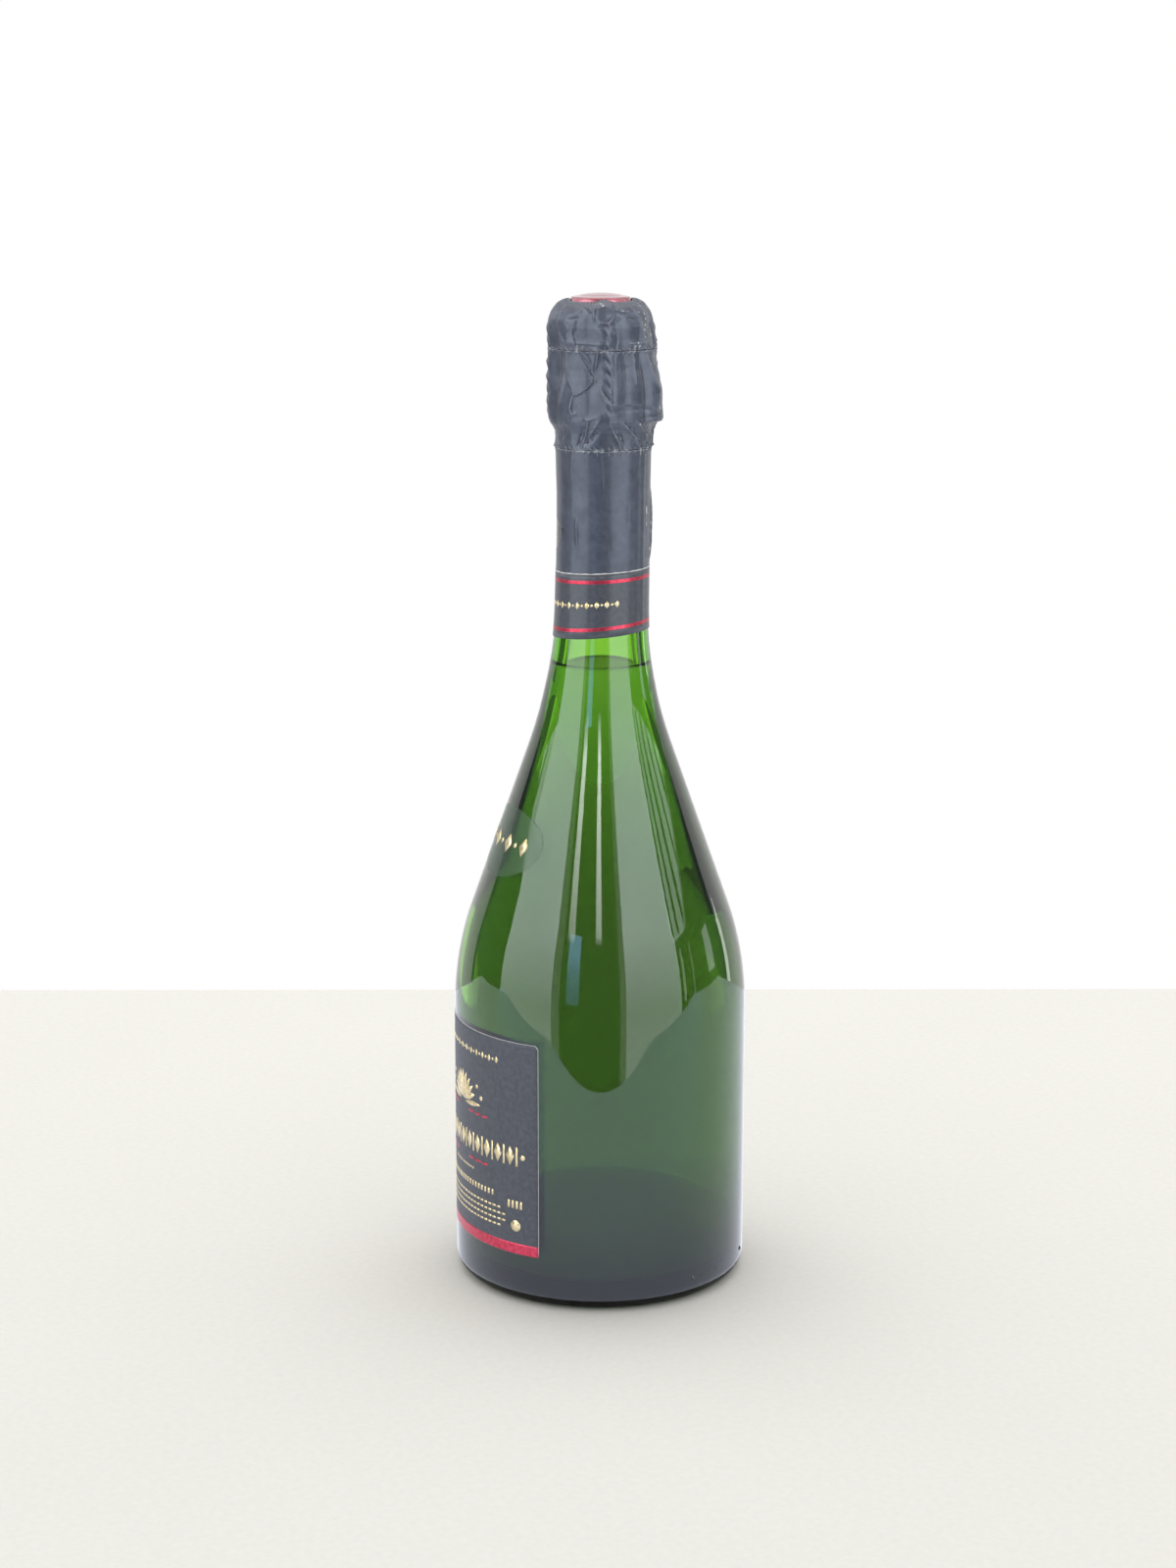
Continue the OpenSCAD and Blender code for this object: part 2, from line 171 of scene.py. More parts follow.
def closedGrid(name, grid, wrapRows):
    # grid (rows, cols, 3) closed round its columns; open rows end in a flat fan at their mean point
    rows, cols = grid.shape[:2]
    points, faces = grid.reshape(-1, 3), [gridFaces(rows, cols, wrapRows, True)]
    if not wrapRows:
        j = np.arange(cols)
        for first, mean in ((0, grid[0].mean(0)), ((rows - 1) * cols, grid[-1].mean(0))):
            fan = np.stack([first + (j + 1) % cols, first + j, np.full(cols, len(points))], -1)
            faces.append(fan if first == 0 else fan[:, ::-1])
            points = np.vstack([points, mean])
    return meshFrom(name, points, outward(points, faces))


def turned(radius, height, angles):
    # a profile (rows) carried round the axis: x = r cos a, y = r sin a, z = height
    r, z = np.broadcast_arrays(radius, height)
    if r.ndim == 1:
        r, z = r[:, None], z[:, None]
    return polar(r, np.radians(angles), z)


def arcPoints(centre, radius, start, end, count):
    # centre + radius (cos t, sin t), t from start to end in degrees
    t = np.radians(np.linspace(start, end, count + 1))
    return np.stack([centre[0] + radius * np.cos(t), centre[1] + radius * np.sin(t)], -1)


def rounded(points, times=2):
    # cuts each corner at a quarter and three quarters of its sides, the ends stay
    for _ in range(times):
        a, b = points[:-1], points[1:]
        inner = np.stack([0.75 * a + 0.25 * b, 0.25 * a + 0.75 * b], 1).reshape(-1, points.shape[1])
        points = np.vstack([points[:1], inner[1:-1], points[-1:]])
    return points


def curveThrough(points, places):
    # smooth curve through points (Catmull-Rom), places run from 0 to the last point's number
    p = np.vstack([2 * points[0] - points[1], points, 2 * points[-1] - points[-2]])
    i = np.clip(np.floor(places).astype(int), 0, len(points) - 2) + 1
    t = (places - i + 1)[:, None]
    a, b, c, d = p[i - 1], p[i], p[i + 1], p[i + 2]
    return 0.5 * (2 * b + (c - a) * t + (2 * a - 5 * b + 4 * c - d) * t ** 2
                  + (3 * b - a - 3 * c + d) * t ** 3)


def tube(name, path, radius, sides):
    # a circle of the given radius carried along the path, turned as little as possible, ends closed
    step = np.gradient(path, axis=0)
    step /= np.linalg.norm(step, axis=1)[:, None]
    side = np.zeros_like(path)
    v = np.cross(step[0], [0.3, 0.5, 0.8])
    for i, t in enumerate(step):
        v = v - (v @ t) * t
        v = v / np.linalg.norm(v)
        side[i] = v
    other = np.cross(step, side)
    a = np.radians(np.arange(sides) * 360 / sides)
    grid = path[:, None] + radius * (np.cos(a)[None, :, None] * side[:, None]
                                     + np.sin(a)[None, :, None] * other[:, None])
    return closedGrid(name, grid, False)


def spun(points, angle):
    # turned about the bottle's axis, in degrees
    a = math.radians(angle)
    x, y = points[..., 0], points[..., 1]
    return np.stack([x * math.cos(a) - y * math.sin(a), x * math.sin(a) + y * math.cos(a),
                     points[..., 2]], -1)


def place(piece, body, slot, finish, *nodes):
    # a finish, a body to ride on and a slot (not used), and the CAD nodes that the piece replaces
    piece.data.materials.append(finish)
    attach(piece, body)
    if nodes:
        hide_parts(*nodes)
    return piece


# Camera and table, as the photograph has them
view = {
    "distance": 945.0,      # from the bottle's axis, along the table
    "height": 371.5,
    "pitch": 12.51,         # looking down
    "swing": 0.235,         # to the left of the axis
    "focalPixels": 3073.0,  # for a frame this many pixels high
    "frameHeight": 1600.0,
    "tableBack": 316.0,     # the table ends this far behind the axis
    "tableTurn": 0.45,      # its back edge isn't quite square to the view
    "tableFront": 268.0,    # and it ends this far in front, below the picture
    "tableSide": 2600.0,
}
lens = bpy.data.cameras.new("camera")
lens.sensor_width = 36
lens.lens = view["focalPixels"] / view["frameHeight"] * lens.sensor_width
lens.clip_start = 0.05
camera = bpy.data.objects.new("camera", lens)
scene.collection.objects.link(camera)
camera.location = (view["distance"] * mm * math.sin(turn), -view["distance"] * mm * math.cos(turn),
                   view["height"] * mm)
camera.rotation_euler = (math.radians(90 - view["pitch"]), 0, turn + math.radians(view["swing"]))
scene.camera = camera

# Table top: pale laminate, a fine cloth-like fleck plus 0.3 of a broad cloud between two near tones
tableFinish, tree, sockets = newFinish("paleLaminate", {"Roughness": 0.8, "Specular IOR Level": 0.0})
where = addNode(tree, "TexCoord", out="Object")
fleck = addNode(tree, "TexNoise", {"Scale": 420.0, "Detail": 3.0, "Vector": where})
cloud = addNode(tree, "TexNoise", {"Scale": 9.0, "Detail": 2.0, "Vector": where})
both = addNode(tree, "Math", {"operation": "MULTIPLY_ADD", 0: cloud, 1: 0.3, 2: fleck})
tone = setStops(addNode(tree, "ValToRGB", {"Fac": both}), (0.3, "#DFDDD7"), (1.0, "#E6E4DE"))
# in gloss it is darker, as the bottle's own shadow lies on it; the sheet below stands in for its lit part
rays = addNode(tree, "LightPath").node.outputs
mirrorOnly = addNode(tree, "Math", {"operation": "SUBTRACT", "use_clamp": True,
                                    0: rays["Is Glossy Ray"], 1: rays["Is Transmission Ray"]})
addNode(tree, "Mix", {"data_type": "RGBA", "blend_type": "MULTIPLY", 0: mirrorOnly, 6: tone,
                      7: (0.45, 0.45, 0.45, 1)}, 2, sockets["Base Color"])
addNode(tree, "Bump", {"Strength": 0.12, "Distance": 0.0002, "Height": fleck}, 0, sockets["Normal"])

backTurn = turn + math.radians(view["tableTurn"])
away = np.array([-math.sin(backTurn), math.cos(backTurn), 0])
right = np.array([math.cos(backTurn), math.sin(backTurn), 0])
corners = [reach * away + side * view["tableSide"] * right for reach, side in (
    (view["tableBack"], 1), (view["tableBack"], -1), (-view["tableFront"], -1), (-view["tableFront"], 1))]
table = meshFrom("table", corners, oneFace)
table.data.materials.append(tableFinish)
print("camera and table")

# Light: a white room, tall soft panels to both sides, tubes above, dark cards for the glass
world = bpy.data.worlds.new("whiteRoom")
scene.world = world
world.use_nodes = True
tree = world.node_tree
tree.nodes.clear()
rays = addNode(tree, "LightPath").node.outputs
seen = addNode(tree, "Math", {"operation": "MAXIMUM", 0: rays["Is Camera Ray"],
                              1: rays["Is Transmission Ray"]})
seenOrGlossy = addNode(tree, "Math", {"operation": "MAXIMUM", 0: seen, 1: rays["Is Glossy Ray"]})
roomLight = addNode(tree, "Background", {"Color": (1, 1, 1, 1), "Strength": 0.92})
roomSeen = addNode(tree, "Background", {"Color": (1, 1, 1, 1), "Strength": 1.0})
room = addNode(tree, "MixShader", {0: seenOrGlossy, 1: roomLight, 2: roomSeen})
addNode(tree, "OutputWorld", {"Surface": room})


def upright(piece, azimuth, low, high, reach):
    # stands a piece on edge, azimuth degrees to the right of the camera, facing the bottle
    a = turn + math.radians(azimuth)
    piece.location = (reach * mm * math.sin(a), -reach * mm * math.cos(a), (low + high) / 2 * mm)
    piece.rotation_euler = (math.radians(90), 0, a)
    piece.visible_camera = piece.visible_transmission = False


def areaLight(name, width, height, radiance, colour=(1, 1, 1), shinesOnly=True):
    # radiance 1 shows as white; a panel that only shines is seen in gloss and lights nothing else
    light = bpy.data.lights.new(name, "AREA")
    light.shape = "RECTANGLE"
    light.size, light.size_y = width * mm, height * mm
    light.energy = radiance * 4 * light.size * light.size_y
    light.color = colour
    lamp = bpy.data.objects.new(name, light)
    lamp.visible_diffuse = not shinesOnly
    scene.collection.objects.link(lamp)
    return lamp


def softPanel(name, azimuth, low, high, reach, width, radiance, colour=(1, 1, 1), fades=()):
    # fades: (part of the height, part of the radiance) from its foot up, as a wall lit from above
    lamp = areaLight(name, width, high - low, radiance, colour)
    upright(lamp, azimuth, low, high, reach)
    if fades:
        lamp.data.use_nodes = True
        tree = lamp.data.node_tree
        up = addNode(tree, "SeparateXYZ", {0: addNode(tree, "NewGeometry", out="Parametric")}, 1)
        setStops(addNode(tree, "ValToRGB", {"Fac": up}, 0, tree.nodes["Emission"].inputs["Strength"]), *fades)


def darkCard(name, azimuth, low, high, reach, width, behind=False):
    # a card behind the bottle is seen through the glass, any other in gloss
    w, h = width / 2, (high - low) / 2
    card = meshFrom(name, [[-w, -h, 0], [w, -h, 0], [w, h, 0], [-w, h, 0]], oneFace)
    card.data.materials.append(greyFelt)
    upright(card, azimuth, low, high, reach)
    card.visible_diffuse = card.visible_shadow = False
    card.visible_transmission, card.visible_glossy = behind, not behind
    return card


greyFelt, tree, sockets = newFinish("greyFelt", {"Base Color": toLinear("#70757A"), "Roughness": 1.0,
                                                 "Specular IOR Level": 0.0})
wall = {"low": -900, "high": 1500, "reach": 1100, "radiance": 3.3, "colour": (0.84, 0.92, 1.0),
        "fades": ((0.0, 0.5), (0.3, 0.48), (0.37, 0.42), (0.45, 0.62), (0.54, 0.8), (0.62, 1.0))}
wallTop = {"high": 1500, "reach": 1100, "radiance": 1.4}
lampTube = {"low": 560, "high": 1200, "reach": 1300, "radiance": 10.0,
            "fades": ((0.0, 0.0), (0.2, 0.45), (0.45, 1.0), (0.8, 0.55))}
sliver = {"reach": 1050, "radiance": 1.6, "colour": (0.9, 1.0, 0.85)}
lamps = {
    "leftPanel": {**wall, "azimuth": -62, "width": 1000},
    "rightPanel": {**wall, "azimuth": 43, "width": 930},
    "leftHigh": {**wallTop, "azimuth": -108, "low": 420, "width": 850, "colour": (0.84, 0.92, 1.0)},
    "rightHigh": {**wallTop, "azimuth": 92, "low": 400, "width": 1150, "colour": (0.84, 0.95, 1.0)},
    "tubeLeft": {**lampTube, "azimuth": -25, "width": 140},
    "tubeMiddle": {**lampTube, "azimuth": -1, "width": 120},
    "blueWindow": {"azimuth": -21, "low": 30, "high": 640, "reach": 1300, "width": 230, "radiance": 3.4,
                   "colour": (0.3, 0.55, 1.0), "fades": ((0.0, 0.3), (0.4, 0.55), (0.7, 1.0))},
    "sliverNear": {**sliver, "azimuth": 69.5, "low": -10, "high": 300, "width": 40},
    "sliverMiddle": {**sliver, "azimuth": 79, "low": -60, "high": 290, "width": 25, "radiance": 1.1},
    "sliverWide": {**sliver, "azimuth": 100, "low": 60, "high": 270, "width": 150,
                   "colour": (0.9, 0.95, 1.0)},
    "sliverFar": {**sliver, "azimuth": 122, "low": -150, "high": 180, "width": 90, "radiance": 2.2},
}
dark = {"low": -900, "reach": 1100}
backCard = {"low": -300, "high": 1500, "reach": 1150, "width": 560, "behind": True}
cards = {
    "cameraCard": {"azimuth": -8, "low": -900, "high": 1900, "reach": 1500, "width": 1300},
    "leftCard": {**dark, "azimuth": -103, "high": 420, "width": 760},
    "rightCard": {**dark, "azimuth": 93, "high": 390, "width": 1130},
    "backLeftCard": {**backCard, "azimuth": -138},
    "backRightCard": {**backCard, "azimuth": 138},
}
# narrow dark rails high on both sides: (azimuth, width)
for i, (azimuth, width) in enumerate(((66, 32), (72, 44), (80, 56), (89, 40), (99, 60), (110, 45), (119, 70),
                                      (-95, 50), (-103, 38), (-111, 60), (-119, 44))):
    cards["rail" + str(i)] = {"low": 385, "high": 1500, "reach": 1050, "azimuth": azimuth, "width": width}
above = {"width": 1500, "height": 900, "radiance": 1.5, "back": 400, "up": 1500, "tilt": -14}
topPanel = areaLight("topPanel", above["width"], above["height"], above["radiance"], shinesOnly=False)
topPanel.location = (-above["back"] * mm * math.sin(turn), above["back"] * mm * math.cos(turn),
                     above["up"] * mm)
topPanel.rotation_euler = (math.radians(above["tilt"]), 0, turn)
topPanel.visible_camera = topPanel.visible_transmission = False
# the lit table as gloss shows it, brighter than a picture of it can be: a sheet seen in gloss only, open
# below the heel, bluer in front of the bottle than beside and behind it
tableGlow = {"open": 48.5, "side": 1500, "lift": 0.3, "corners": 96, "bluer": 0.12,
             "frontColour": (1.45, 1.64, 2.05, 1), "sideColour": (1.28, 1.32, 1.46, 1)}
a = np.radians(np.arange(tableGlow["corners"]) * 360 / tableGlow["corners"])
c, d = np.cos(a), np.sin(a)
edge = np.minimum(np.where(c > 0, view["tableBack"], view["tableFront"]) / np.maximum(np.abs(c), 1e-6),
                  tableGlow["side"] / np.maximum(np.abs(d), 1e-6))
flat = np.vstack([np.stack([reach * c, reach * d], -1) for reach in (tableGlow["open"], edge)])
tableSheen = meshFrom("tableSheen", flat[:, :1] * away + flat[:, 1:] * right + [0, 0, tableGlow["lift"]],
                      [gridFaces(2, tableGlow["corners"], False, True)])
sheen = bpy.data.materials.new("litTableSheen")
sheen.use_nodes = True
tree = sheen.node_tree
tree.nodes.clear()
where = addNode(tree, "TexCoord", out="Object")
along = addNode(tree, "VectorMath", {"operation": "DOT_PRODUCT", 0: where, 1: tuple(away)}, "Value")
behind = addNode(tree, "MapRange", {0: along, 1: -tableGlow["bluer"], 2: 0.0})
shade = addNode(tree, "Mix", {"data_type": "RGBA", 0: behind, 6: tableGlow["frontColour"],
                              7: tableGlow["sideColour"]}, 2)
glow = addNode(tree, "Emission", {"Strength": 1.0, "Color": shade})
addNode(tree, "OutputMaterial", {"Surface": glow})
tableSheen.data.materials.append(sheen)
tableSheen.visible_camera = tableSheen.visible_transmission = False
tableSheen.visible_diffuse = tableSheen.visible_shadow = False
for name, lamp in lamps.items():
    softPanel(name, **lamp)
for name, card in cards.items():
    darkCard(name, **card)
# painted shade: a dark card, seen only through the glass, stands for the shade below the bottle's pushed-in
# base, where no light comes in
baseShadeCard = darkCard("baseShadeCard", azimuth=0, low=-38, high=38, reach=0, width=76, behind=True)
baseShadeCard.location, baseShadeCard.rotation_euler = (0, 0, 0.0002), (0, 0, turn)
print("lamps")

# The glass
glass = {
    "bodyRadius": 47.25, "height": 300.0, "heelRadius": 6.0, "restWidth": 1.6, "bodyTop": 89.5,
    "shoulderRadius": 100.0, "coneAngle": 19.5, "neckCurve": 138.0, "neckRadius": 14.9,
    "neckLean": 0.6, "grooveLow": 270.5, "grooveRadius": 13.7, "ringRadius": 15.8, "lipRadius": 14.4,
    "ringLow": 281.5, "ringTop": 289.0,
    "boreRadius": 8.8, "wall": 3.9, "neckWall": 4.7, "puntHeight": 30.0, "puntGlass": 6.0,
    "puntRound": 34.0, "floorRound": 37.5, "puntTurn": 52.0, "corner": 2.5, "turns": 288,
    "pips": [17.6, 22.2, 26.9, 31.6, 55.1], "pipHeight": 8.0, "pipSink": 0.55, "ripple": 0.15,
}


def capProfile(top, radius, turn, count):
    # a round cap from the axis, at height top, down to where it is turned this far
    t = np.radians(np.linspace(0, turn, count + 1))
    return np.stack([radius * np.sin(t), top - radius + radius * np.cos(t)], -1)


def glassOutlines(g):
    # outside and inside of the bottle in section, as the frame's solid has them
    c, s = math.cos(math.radians(g["coneAngle"])), math.sin(math.radians(g["coneAngle"]))
    lean = math.radians(g["neckLean"])
    shoulder = np.array([g["bodyRadius"] - g["shoulderRadius"], g["bodyTop"]])
    coneLow = shoulder + g["shoulderRadius"] * np.array([c, s])
    startR = g["neckRadius"] + g["neckCurve"] * (math.cos(lean) - c)
    startZ = coneLow[1] + (coneLow[0] - startR) * c / s
    endZ = startZ + g["neckCurve"] * (s - math.sin(lean))
    centre = np.array([g["neckRadius"] + g["neckCurve"] * math.cos(lean),
                       endZ + g["neckCurve"] * math.sin(lean)])
    h, ringLow, ringTop = g["height"], g["ringLow"], g["ringTop"]
    gr, ring, lip = g["grooveRadius"], g["ringRadius"], g["lipRadius"]
    lowNeck = g["neckRadius"] - (g["grooveLow"] - endZ) * math.tan(lean)
    finish = rounded(np.array([
        [lowNeck, g["grooveLow"]], [gr + 0.3, 273.5], [gr, 276], [gr, ringLow - 1.5],
        [gr + 0.7, ringLow - 0.4], [ring - 0.5, ringLow + 0.6], [ring - 0.1, ringLow + 3],
        [ring, ringTop - 1.6], [ring - 0.5, ringTop - 0.4], [ring - 1.6, ringTop],
        [gr - 0.3, ringTop + 0.4], [gr - 0.6, ringTop + 2.5], [gr - 0.4, h - 5.4], [lip - 0.5, h - 4.9],
        [lip, h - 3.4], [lip, h - 2.2], [lip - 0.8, h - 0.7], [lip - 2.6, h]]))
    heel = g["bodyRadius"] - g["heelRadius"]
    wall = np.vstack([
        np.stack([np.full(13, g["bodyRadius"]), np.linspace(12, 84, 13)], -1),
        arcPoints(shoulder, g["shoulderRadius"], 0, g["coneAngle"], 24),
        arcPoints(centre, g["neckCurve"], 180 + g["coneAngle"], 180 + g["neckLean"], 32)])
    outside = np.vstack([
        capProfile(g["puntHeight"], g["puntRound"], g["puntTurn"], 24),
        [[heel - g["restWidth"], 0]],
        arcPoints([heel, g["heelRadius"]], g["heelRadius"], -90, 0, 16), wall, finish])
    top, corner, steep = g["puntHeight"] + g["puntGlass"], g["corner"], math.radians(g["puntTurn"])
    cornerR = g["bodyRadius"] - g["wall"] - corner
    cornerZ = top - g["floorRound"] + (g["floorRound"] + corner - math.sin(steep) * cornerR) / math.cos(steep)
    floor = capProfile(top, g["floorRound"], g["puntTurn"], 24)
    inside = np.vstack([
        arcPoints([g["boreRadius"] + 1.3, h - 1.3], 1.3, 90, 180, 6),
        [[g["boreRadius"], h - 28], [9.9, 246], [10.1, 226]],
        arcPoints(centre, g["neckCurve"] + g["neckWall"], 181 + g["neckLean"], 180 + g["coneAngle"], 28),
        arcPoints(shoulder, g["shoulderRadius"] - g["wall"], g["coneAngle"], 0, 24),
        arcPoints([cornerR, cornerZ], corner, 0, -90 - g["puntTurn"], 16), floor[::-1]])
    return outside, inside, wall


outside, inside, wallOutside = glassOutlines(glass)
neckEnd = wallOutside[-1, 1]
leanTan = math.tan(math.radians(glass["neckLean"]))


def glassRadius(height):
    # the outside radius at a height, on the wall from the body to the neck
    r = np.interp(height, wallOutside[:, 1], wallOutside[:, 0])
    return np.where(height > neckEnd, glass["neckRadius"] - (height - neckEnd) * leanTan, r)


def turnedSolid(profile, count, ripple=None):
    # a profile from the axis to the axis, turned; its two ends on the axis become poles
    angles = np.arange(count) * 360 / count
    body = profile[1:-1]
    grid = turned(body[:, 0], body[:, 1], angles)
    if ripple is not None:
        outwards = ripple(body, angles)[..., None] * np.array([1, 1, 0])
        grid = grid * (1 + outwards / np.maximum(body[:, :1], 1)[..., None])
    rows = len(body)
    points = np.vstack([grid.reshape(-1, 3), [0, 0, profile[0, 1]], [0, 0, profile[-1, 1]]])
    j = np.arange(count)
    low = np.stack([(j + 1) % count, j, np.full(count, rows * count)], -1)
    last = (rows - 1) * count
    high = np.stack([last + j, last + (j + 1) % count, np.full(count, rows * count + 1)], -1)
    faces = [gridFaces(rows, count, False, True), low, high]
    return points, outward(points, faces)


def wallRipple(profile, angles):
    # the mould leaves the outside true; the inside waves by ripple sin(3a + z/31) sin(z/23)
    z, a = profile[:, 1:2], np.radians(angles)[None, :]
    inner = np.arange(len(profile))[:, None] >= len(outside) + 6
    band = part(z, 20, 20) * part(z, 210, -20)
    return np.where(inner, glass["ripple"] * np.sin(3 * a + z / 31) * np.sin(z / 23) * band, 0)


def pipDomes(g):
    # small round pips sunk in the heel
    u, v = np.radians(np.linspace(0, 180, 9))[:, None], np.radians(np.arange(12) * 30)
    ball = polar(np.sin(u), v, np.cos(u)) + [g["bodyRadius"] - g["pipSink"], 0, g["pipHeight"]]
    return [spun(ball, a) for a in g["pips"]]


points, faces = turnedSolid(np.vstack([outside, inside]), glass["turns"], wallRipple)
for ball in pipDomes(glass):
    faces.append(gridFaces(9, 12, False, True, len(points))[:, ::-1])
    points = np.vstack([points, ball.reshape(-1, 3)])
glassBottle = meshFrom("glassBottle", points, faces)

# Soda-lime bottle glass, blown in a mould: smooth, faintly wavy, green from iron and chrome
greenGlass, tree, sockets = newFinish("champagneGreenGlass", {
    "Base Color": (1, 1, 1, 1), "Roughness": 0.004, "IOR": 1.52, "Transmission Weight": 1.0})
where = addNode(tree, "TexCoord", out="Object")
wave = addNode(tree, "TexNoise", {"Scale": 38.0, "Detail": 1.0, "Vector": where})
addNode(tree, "Bump", {"Strength": 0.04, "Distance": 0.0006, "Height": wave}, 0, sockets["Normal"])
# painted shade: the thick foot lets almost no light through and the table under it lies in shade, so its
# faces within the rest ring are tinted dark, the heel by half
level = addNode(tree, "VectorMath", {"operation": "MULTIPLY", 0: where, 1: (1, 1, 0)})
fromAxis = addNode(tree, "VectorMath", {"operation": "LENGTH", 0: level}, "Value")
height = addNode(tree, "SeparateXYZ", {0: where}, 2)
within = addNode(tree, "Math", {"operation": "LESS_THAN", 0: fromAxis, 1: 0.041})
below = addNode(tree, "Math", {"operation": "LESS_THAN", 0: height, 1: 0.038})
foot = addNode(tree, "Math", {"operation": "MULTIPLY", 0: within, 1: below})
footShade = addNode(tree, "Mix", {"data_type": "RGBA", 0: foot, 6: (1, 1, 1, 1), 7: (0.06, 0.065, 0.06, 1)}, 2)
heel = addNode(tree, "MapRange", {0: height, 1: 0.014, 2: 0.03, 3: 0.5, 4: 1.0})
addNode(tree, "VectorMath", {"operation": "MULTIPLY", 0: footShade, 1: heel}, 0, sockets["Base Color"])
addNode(tree, "VolumeAbsorption", {"Color": (0.562, 0.838, 0.04, 1), "Density": 370.0}, 0,
        tree.nodes["Material Output"].inputs["Volume"])
place(glassBottle, "bottle", "green_glass", greenGlass, "glass_bottle")
print("glass", len(glassBottle.data.polygons))

# The wine fills the inside to its level, with a raised rim where it wets the neck
wine = {"level": 201.4, "overlap": 0.12, "rimRise": 0.5, "rimWidth": 0.7, "turns": 192}


def wineProfile(w):
    # the inside's outline below the level, pushed into the glass a little, so that light meets one face;
    # the top rises to the glass by rimRise exp(-distance from it / rimWidth)
    low = inside[inside[:, 1] < w["level"]][::-1]
    side = low - w["overlap"] * leftOf(np.gradient(low, axis=0))
    side[0, 0] = 0
    wallInside = inside[::-1][40:]      # from the base's corner up
    neck = np.interp(w["level"], wallInside[:, 1], wallInside[:, 0]) + w["overlap"]
    r = neck * np.linspace(1, 0, 20) ** 1.6
    top = np.stack([r, w["level"] + w["rimRise"] * np.exp(-(neck - r) / w["rimWidth"])], -1)
    side = side[side[:, 1] < w["level"] - 0.5]
    return np.vstack([side, top])


wineBody = meshFrom("wineBody", *turnedSolid(wineProfile(wine), wine["turns"]))
# Pale gold wine, clear and still
goldWine, tree, sockets = newFinish("paleGoldWine", {
    "Base Color": (1, 1, 1, 1), "Roughness": 0.0, "IOR": 1.34, "Transmission Weight": 1.0})
addNode(tree, "VolumeAbsorption", {"Color": (0.29, 0.42, 0.2, 1), "Density": 45.0}, 0,
        tree.nodes["Material Output"].inputs["Volume"])
place(wineBody, "bottle", "wine", goldWine, "wine")
print("wine")

# Cork: pressed granules with two natural discs at the foot
cork = {"bore": 8.75, "foot": 276.0, "disc": 5.5, "lip": 300.3, "head": 14.5, "turns": 128}
corkOutline = rounded(np.vstack([
    [[0, cork["foot"] + 2 * cork["disc"]], [cork["bore"], cork["foot"] + 2 * cork["disc"]],
     [cork["bore"], cork["lip"]]],
    arcPoints([cork["head"] - 3.2, 303.5], 3.2, -90, 0, 6),
    arcPoints([cork["head"] - 5.4, 307], 5.4, 0, 62, 8),
    [[8, 313.6], [4, 314.4], [0, 314.7]]]), 1)


def corkFinish(name, cellMm, colours, creamy):
    # pressed granules or natural cork: cells of the given size, dark pores, dull
    finish, tree, sockets = newFinish(name, {"Roughness": 0.85, "Specular IOR Level": 0.25})
    where = addNode(tree, "TexCoord", out="Object")
    cells = addNode(tree, "TexVoronoi", {"Scale": 1000 / cellMm, "Vector": where}, "Color")
    shade = addNode(tree, "SeparateColor", {0: cells})
    tone = setStops(addNode(tree, "ValToRGB", {"Fac": shade}), (0.0, colours[0]), (1.0, colours[1]))
    pores = addNode(tree, "TexNoise", {"Scale": 900.0 / creamy, "Detail": 5.0, "Vector": where})
    dark = setStops(addNode(tree, "ValToRGB", {"Fac": pores}), (0.33, "#4E3420"), (0.42, "#FFFFFF"))
    addNode(tree, "Mix", {"data_type": "RGBA", "blend_type": "MULTIPLY", 0: 0.8, 6: tone, 7: dark}, 2,
            sockets["Base Color"])
    addNode(tree, "Bump", {"Strength": 0.5, "Distance": 0.0003, "Height": pores}, 0, sockets["Normal"])
    return finish


pressedCork = corkFinish("pressedCorkGranules", 2.2, ("#8A6038", "#C79A66"), 1.0)
naturalCork = corkFinish("naturalCork", 6.0, ("#B98A58", "#CDA06C"), 2.2)
corkHead = meshFrom("corkHeadAndShank", *turnedSolid(corkOutline, cork["turns"]))
place(corkHead, "cork", "pressed_cork", pressedCork, "cork_body")
for label, low, replaced in (("corkDiscUpper", cork["foot"] + cork["disc"], "cork_disc_upper"),
                             ("corkDiscLower", cork["foot"], "cork_disc_lower")):
    outline = rounded(np.array([[0, low], [cork["bore"] - 0.3, low], [cork["bore"], low + 0.3],
                                [cork["bore"], low + cork["disc"] - 0.1],
                                [cork["bore"] - 0.1, low + cork["disc"]], [0, low + cork["disc"]]]), 1)
    disc = meshFrom(label, *turnedSolid(outline, cork["turns"]))
    place(disc, "cork", "natural_cork", naturalCork, replaced)
print("cork")

# Plaque: pressed sheet, lacquered, its flange pressed in where the legs pass
hood = {
    "lip": 300.0, "legTurn": -16.0, "wire": 0.45, "pair": 0.52, "turns": 5, "topRing": 11.7,
    "channel": 313.9, "beltRadius": 15.3, "beltHeight": 278.9, "beltWire": 0.6,
    "eyelet": 52.0, "pivot": 17.25, "stem": 6.0, "stemFoot": 1.5, "stemPair": 0.68, "stemTwist": 540,
    "loop": 3.4, "lean": 0.07, "leanFoot": 0.9,
    "line": np.array([[11.5, 15], [12.9, 14.6], [14.1, 13.75], [14.9, 12.4], [15.35, 10.5], [15.7, 6],
                      [16, 0], [16.5, -6.5], [16.95, -12], [16.95, -16.5], [16.5, -19]]),
}
plaque = {"dome": 318.0, "sheet": 0.3, "notch": 1.4, "turns": 240}


